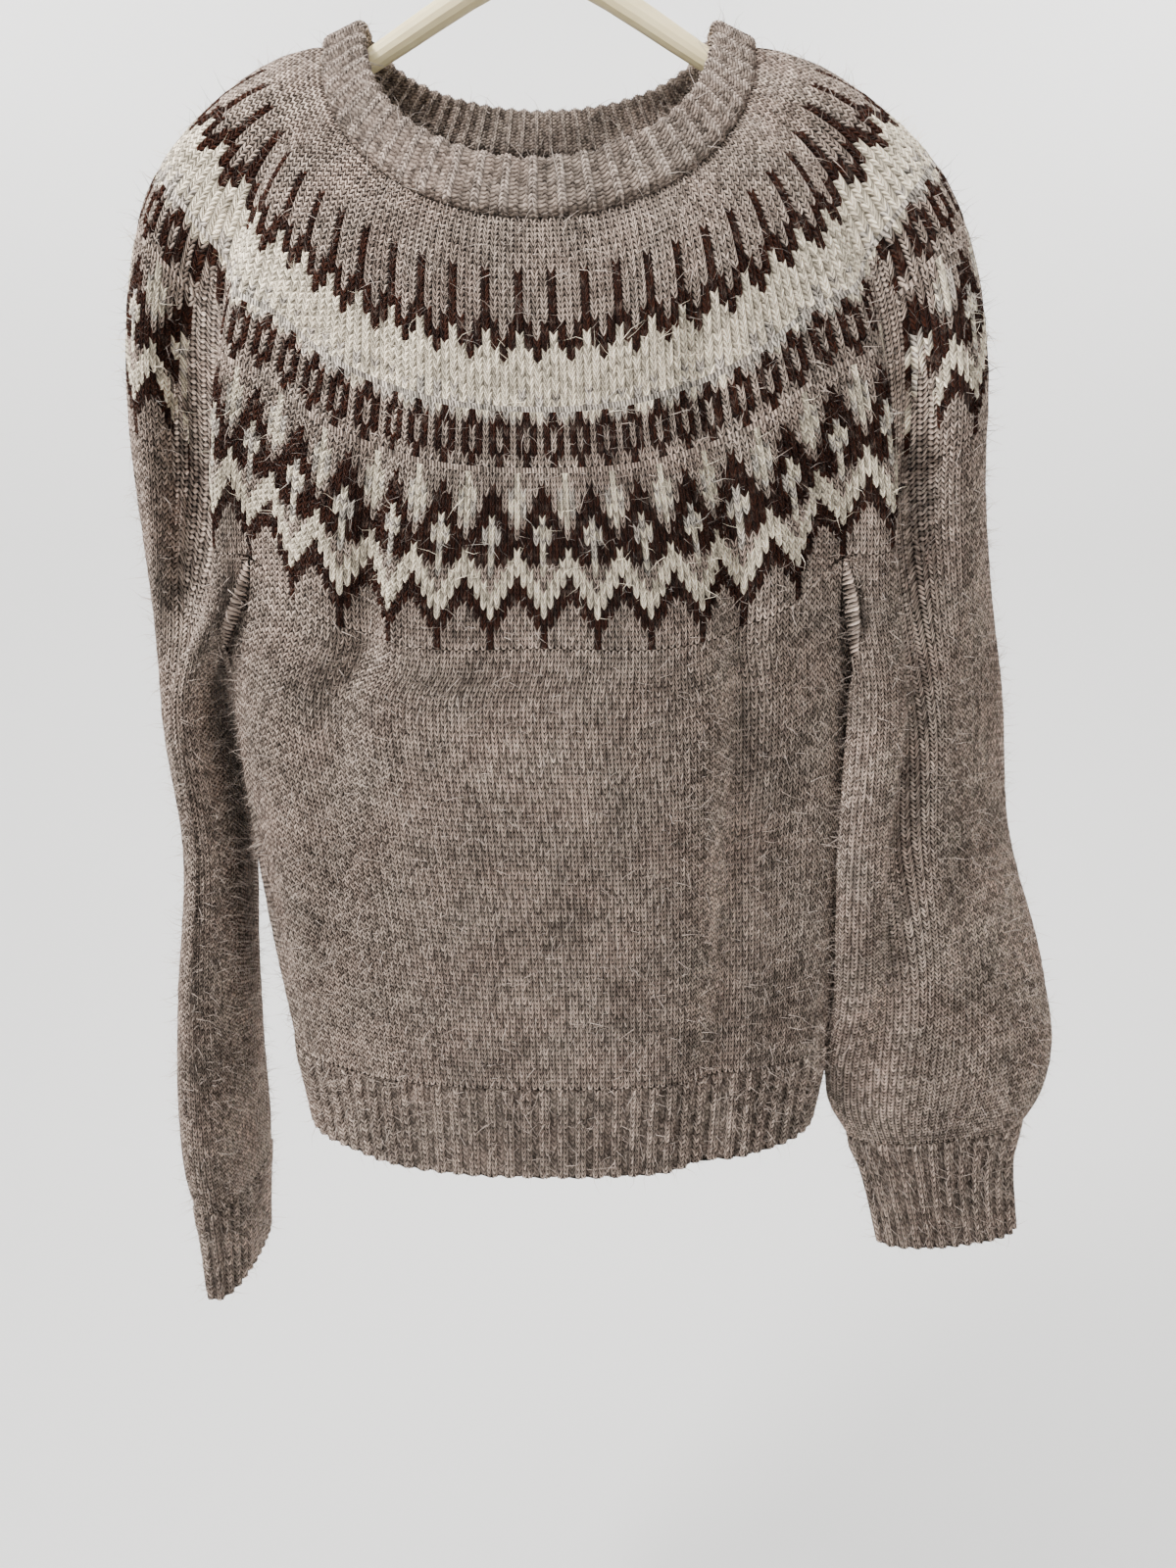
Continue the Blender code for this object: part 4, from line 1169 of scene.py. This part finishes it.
def wool_material(name, painted_gap_shade, knit_wales, painted_rib_shade):
    """Heathered wool. Each stitch has two plump legs, each of its own random tone, with painted shade in the
    gaps between them and a painted highlight on their crests.
    """
    material, tree, shader, coordinates = new_material(name)
    yarn = new_node(tree, "ShaderNodeAttribute", attribute_name="yarn")
    heather = Value(tree, yarn.outputs["Alpha"])
    stitches = new_node(tree, "ShaderNodeUVMap", uv_map="stitches")
    across, down, _ = separated(tree, stitches.outputs[0])
    wander = (noise(tree, coordinates, *WANDER_NOISE) - 0.5) * WANDER
    rows_at = down + wander
    plump = stitch_legs(across, rows_at, wander, knit_wales)

    # The shade: each leg's own, soft patches and lengths of yarn, as random tone, and painted shade at the
    # wales' edges, in the gaps and in ribs' grooves, with painted light on the legs' crests.
    mottle = pattern(tree, coordinates, SOFT_PATCHES)
    mottle = mottle * pattern(tree, combined(tree, across * LENGTH_STRETCH, down), YARN_LENGTHS)
    chance = stitch_chance(tree, across * 2.0 + wander, rows_at)
    tone_and_painted_shade = chance.stretched(0.0, 1.0, *LEG_SHADES) * ((mottle - 1.0) * heather + 1.0)
    # Painted shade at each wale's edges and painted light down its middle.
    off_wale = from_middle(across)
    tone_and_painted_shade = tone_and_painted_shade * (off_wale * off_wale).stretched(0.0, 1.0, *PAINTED_WALE_SHADES)
    # Painted shade in the gaps between the legs, and a painted highlight on their crests.
    gap = heather.stretched(0.0, 1.0, PLAIN_PAINTED_GAP_SHADE, painted_gap_shade)
    tone_and_painted_shade = tone_and_painted_shade * (plump.stretched(0.0, FULL_PLUMP, 0.0, 1.0) * (PAINTED_CREST_HIGHLIGHT - gap) + gap)
    # Painted shade in the ribs' grooves.
    if knit_wales:
        groove = ((across - knit_wales / 2) / RIB_REPEAT).turns("COSINE")
        tone_and_painted_shade = tone_and_painted_shade * groove.stretched(*RIB_WAVE, painted_rib_shade, 1.0)
    colour = heathered(tree, coordinates, yarn.outputs["Color"], heather)
    colour = mixed_colour(tree, 1.0, colour, combined(tree, tone_and_painted_shade, tone_and_painted_shade, tone_and_painted_shade), "MULTIPLY")

    twist = (across * TWIST_TURNS[0] + down * TWIST_TURNS[1]).turns("SINE")
    nap = noise(tree, coordinates, *NAP_NOISE)
    height = plump + twist * TWIST_HEIGHT + nap * NAP_HEIGHT
    rough = pattern(tree, coordinates, WOOL_ROUGHNESS)
    finish_shader(tree, shader, colour, rough, height, WOOL_BUMP)
    shader.inputs["Sheen Weight"].default_value = 0.03
    shader.inputs["Sheen Roughness"].default_value = 0.5
    shader.inputs["Specular IOR Level"].default_value = 0.06
    return material


def fibre_material():
    """The loose fibres catch the light, so a painted highlight makes them paler than the yarn under them."""
    material, tree, shader, coordinates = new_material("wool_fibre")
    yarn = new_node(tree, "ShaderNodeAttribute", attribute_name="yarn")
    highlit = pattern(tree, coordinates, FIBRE_HIGHLIGHT_PATCHES)
    colour = mixed_colour(tree, highlit, yarn.outputs["Color"], FIBRE_HIGHLIGHT)
    rough = pattern(tree, coordinates, FIBRE_ROUGHNESS)
    finish_shader(tree, shader, colour, rough, noise(tree, coordinates, *FIBRE_NOISE), FIBRE_BUMP)
    shader.inputs["Sheen Weight"].default_value = 0.3
    return material


def hanger_material():
    """Ivory paint over wood, with faint brush marks along the arms."""
    material, tree, shader, coordinates = new_material("hanger_paint")
    along = new_node(tree, "ShaderNodeMapping", {"Vector": coordinates, "Scale": BRUSH_STRETCH})
    brush = noise(tree, along.outputs[0], *BRUSH_NOISE)
    colour = mixed_colour(tree, pattern(tree, coordinates, PAINT_WEAR), IVORY_PAINT, WORN_PAINT)
    colour = mixed_colour(tree, brush * BRUSH_SHOWS, colour, BRUSH_MARK)
    finish_shader(tree, shader, colour, brush.stretched(*PAINT_ROUGHNESS), brush, PAINT_BUMP)
    shader.inputs["Specular IOR Level"].default_value = 0.3
    return material


def steel_material():
    """Bright drawn wire, with fine scratches."""
    material, tree, shader, coordinates = new_material("hook_wire")
    scratches = noise(tree, coordinates, *SCRATCH_NOISE)
    colour = mixed_colour(tree, pattern(tree, coordinates, WIRE_DULLNESS), BRIGHT_STEEL, DULL_STEEL)
    rough = scratches.stretched(*STEEL_ROUGHNESS)
    finish_shader(tree, shader, colour, rough, scratches, STEEL_BUMP)
    shader.inputs["Metallic"].default_value = 1.0
    return material


def cove_material():
    """Matt pale paint, with faint patches."""
    material, tree, shader, coordinates = new_material("cove_paint")
    colour = mixed_colour(tree, noise(tree, coordinates, *COVE_NOISE), COVE_PAINT, COVE_PATCH)
    link_in(tree, shader, "Base Color", colour)
    shader.inputs["Roughness"].default_value = 0.9
    return material


# Stage.


def build_cove():
    """A pale floor that curves up into a wall far behind the jumper, all the way round."""
    profile = [(0.0, COVE_FLOOR_Z)]
    for angle in np.radians(np.linspace(0.0, 90.0, COVE_STEPS)):
        out = COVE_RADIUS - COVE_BEND + COVE_BEND * math.sin(angle)
        profile.append((out, COVE_FLOOR_Z + COVE_BEND * (1 - math.cos(angle))))
    profile.append((COVE_RADIUS, COVE_TOP_Z))
    points = []
    for out, z in profile:
        for turn in np.linspace(0.0, 2 * math.pi, COVE_SIDES, endpoint=False):
            points.append((out * math.cos(turn), out * math.sin(turn), z))
    faces = []
    for low in range(0, len(points) - COVE_SIDES, COVE_SIDES):
        high = low + COVE_SIDES
        for side in range(COVE_SIDES):
            beside = (side + 1) % COVE_SIDES
            faces.append((low + side, low + beside, high + beside, high + side))
    mesh = bpy.data.meshes.new("cove")
    mesh.from_pydata(points, [], faces)
    mesh.shade_smooth()
    mesh.materials.append(cove_material())
    linked("cove", mesh)


def add_light(name, place, aim, size, power, colour):
    data = bpy.data.lights.new(name, "AREA")
    data.shape = "SQUARE"
    data.size = size
    data.energy = power
    data.color = colour
    light = linked(name, data)
    light.location = place
    light.rotation_euler = (Vector(aim) - Vector(place)).to_track_quat("-Z", "Y").to_euler()
    light.visible_camera = False


def build_stage():
    build_cove()
    for row in LIGHTS:
        add_light(*row)
    world = bpy.data.worlds.new("pale_room")
    world.use_nodes = True
    background = world.node_tree.nodes["Background"]
    background.inputs["Color"].default_value = WORLD_COLOUR
    background.inputs["Strength"].default_value = WORLD_LIGHT
    bpy.context.scene.world = world
    data = bpy.data.cameras.new("camera")
    data.sensor_fit = "VERTICAL"
    data.sensor_height = CAMERA_FILM
    data.lens = CAMERA_LENS
    camera = linked("camera", data)
    camera.location = CAMERA_PLACE
    camera.rotation_euler = (math.radians(90.0 - CAMERA_DIP), 0.0, 0.0)
    bpy.context.scene.camera = camera


# The jumper.


def build_body(material, picks):
    yarns = chart_colours(((BODY_ROWS, "g"),), BODY_ROUND, 1, picks)
    return knitted_piece("body_knit", body_surface, BODY_ROUND, BODY_ROUND, BODY_ROWS, material, yarns)


def build_hem(material):
    def surface(stitches, levels):
        rings = [body_section(row, stitches) for row in HEM_SECTIONS]
        return add_folds(rib_surface(rings, levels), stitches, HEM_FOLDS, BODY_ROUND)

    yarns = rib_colours(HEM_ROWS, HEM_STITCHES, "ggg")
    return knitted_piece("hem_rib_knit", surface, BODY_ROUND, HEM_STITCHES, HEM_ROWS, material, yarns)


def build_sleeve(side, material, picks):
    """A skin's stitches run anticlockwise from above, and the left sleeve's surface is counted clockwise."""
    sign = 1.0 if side == "right" else -1.0

    def surface(stitches, levels):
        return sleeve_surface(side, sign * stitches, levels)

    name = "sleeve_%s_knit" % side
    yarns = chart_colours(((SLEEVE_ROWS, "g"),), SLEEVE_ROUND, 1, picks)
    return knitted_piece(name, surface, SLEEVE_ROUND, SLEEVE_ROUND, SLEEVE_ROWS, material, yarns)


def build_cuff(side, material):
    sign = 1.0 if side == "right" else -1.0

    def surface(stitches, levels):
        rings = [sleeve_section(side, row, sign * stitches) for row in CUFF_SECTIONS[side]]
        return rib_surface(rings, levels)

    name = "cuff_%s_knit" % side
    yarns = rib_colours(CUFF_ROWS, CUFF_STITCHES, "ggg")
    return knitted_piece(name, surface, SLEEVE_ROUND, CUFF_STITCHES, CUFF_ROWS, material, yarns)


def build_cloth():
    """Every knitted piece with its stitches raised, by the name of the CAD node that it stands for."""
    picks = np.random.default_rng(MIXED_SEED)
    # Each wool's gap and rib shades are painted shade, in the gaps between legs and in the ribs' grooves.
    plain = wool_material("wool_knit", painted_gap_shade=0.05, knit_wales=0, painted_rib_shade=1.0)
    ribbed = wool_material("wool_rib", painted_gap_shade=0.15, knit_wales=2, painted_rib_shade=0.50)
    banded = wool_material("wool_neckband", painted_gap_shade=0.25, knit_wales=1, painted_rib_shade=0.80)
    skins = {"yoke": build_yoke(plain, picks), "body": build_body(plain, picks)}
    skins["hem_rib"] = build_hem(ribbed)
    for side in ("right", "left"):
        skins["sleeve_" + side] = build_sleeve(side, plain, picks)
        skins["cuff_" + side] = build_cuff(side, ribbed)
    skins["neck_rib"] = build_neck_rib(banded)
    tree = stitch_relief_tree()
    return {node: with_relief(skin, tree, RELIEF.get(node, PLAIN_RELIEF)) for node, skin in skins.items()}


def build_jumper():
    tree = wool_fibre_tree()
    wool = fibre_material()
    for number, (node, knit) in enumerate(build_cloth().items()):
        settings = {
            "Fibres per square metre": FIBRES_PER_AREA,
            "Length": FIBRE_LENGTH,
            "Radius": FIBRE_RADIUS,
            "Bend": FIBRE_BEND,
            "Seed": float(number + FIRST_SEED),
            "Material": wool,
        }
        fibres = made_plain(knit, tree, settings, node + "_fibres")
        for obj in (knit, fibres):
            for label in ("stitch_place", "outward"):
                if label in obj.data.attributes:
                    obj.data.attributes.remove(obj.data.attributes[label])
            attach(obj, "root")
        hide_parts(node)
        flat, area = CUT[node]
    for node, material in (("hanger", hanger_material()), ("hook", steel_material())):
        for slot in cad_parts[node].material_slots:
            slot.material = material


build_stage()
build_jumper()
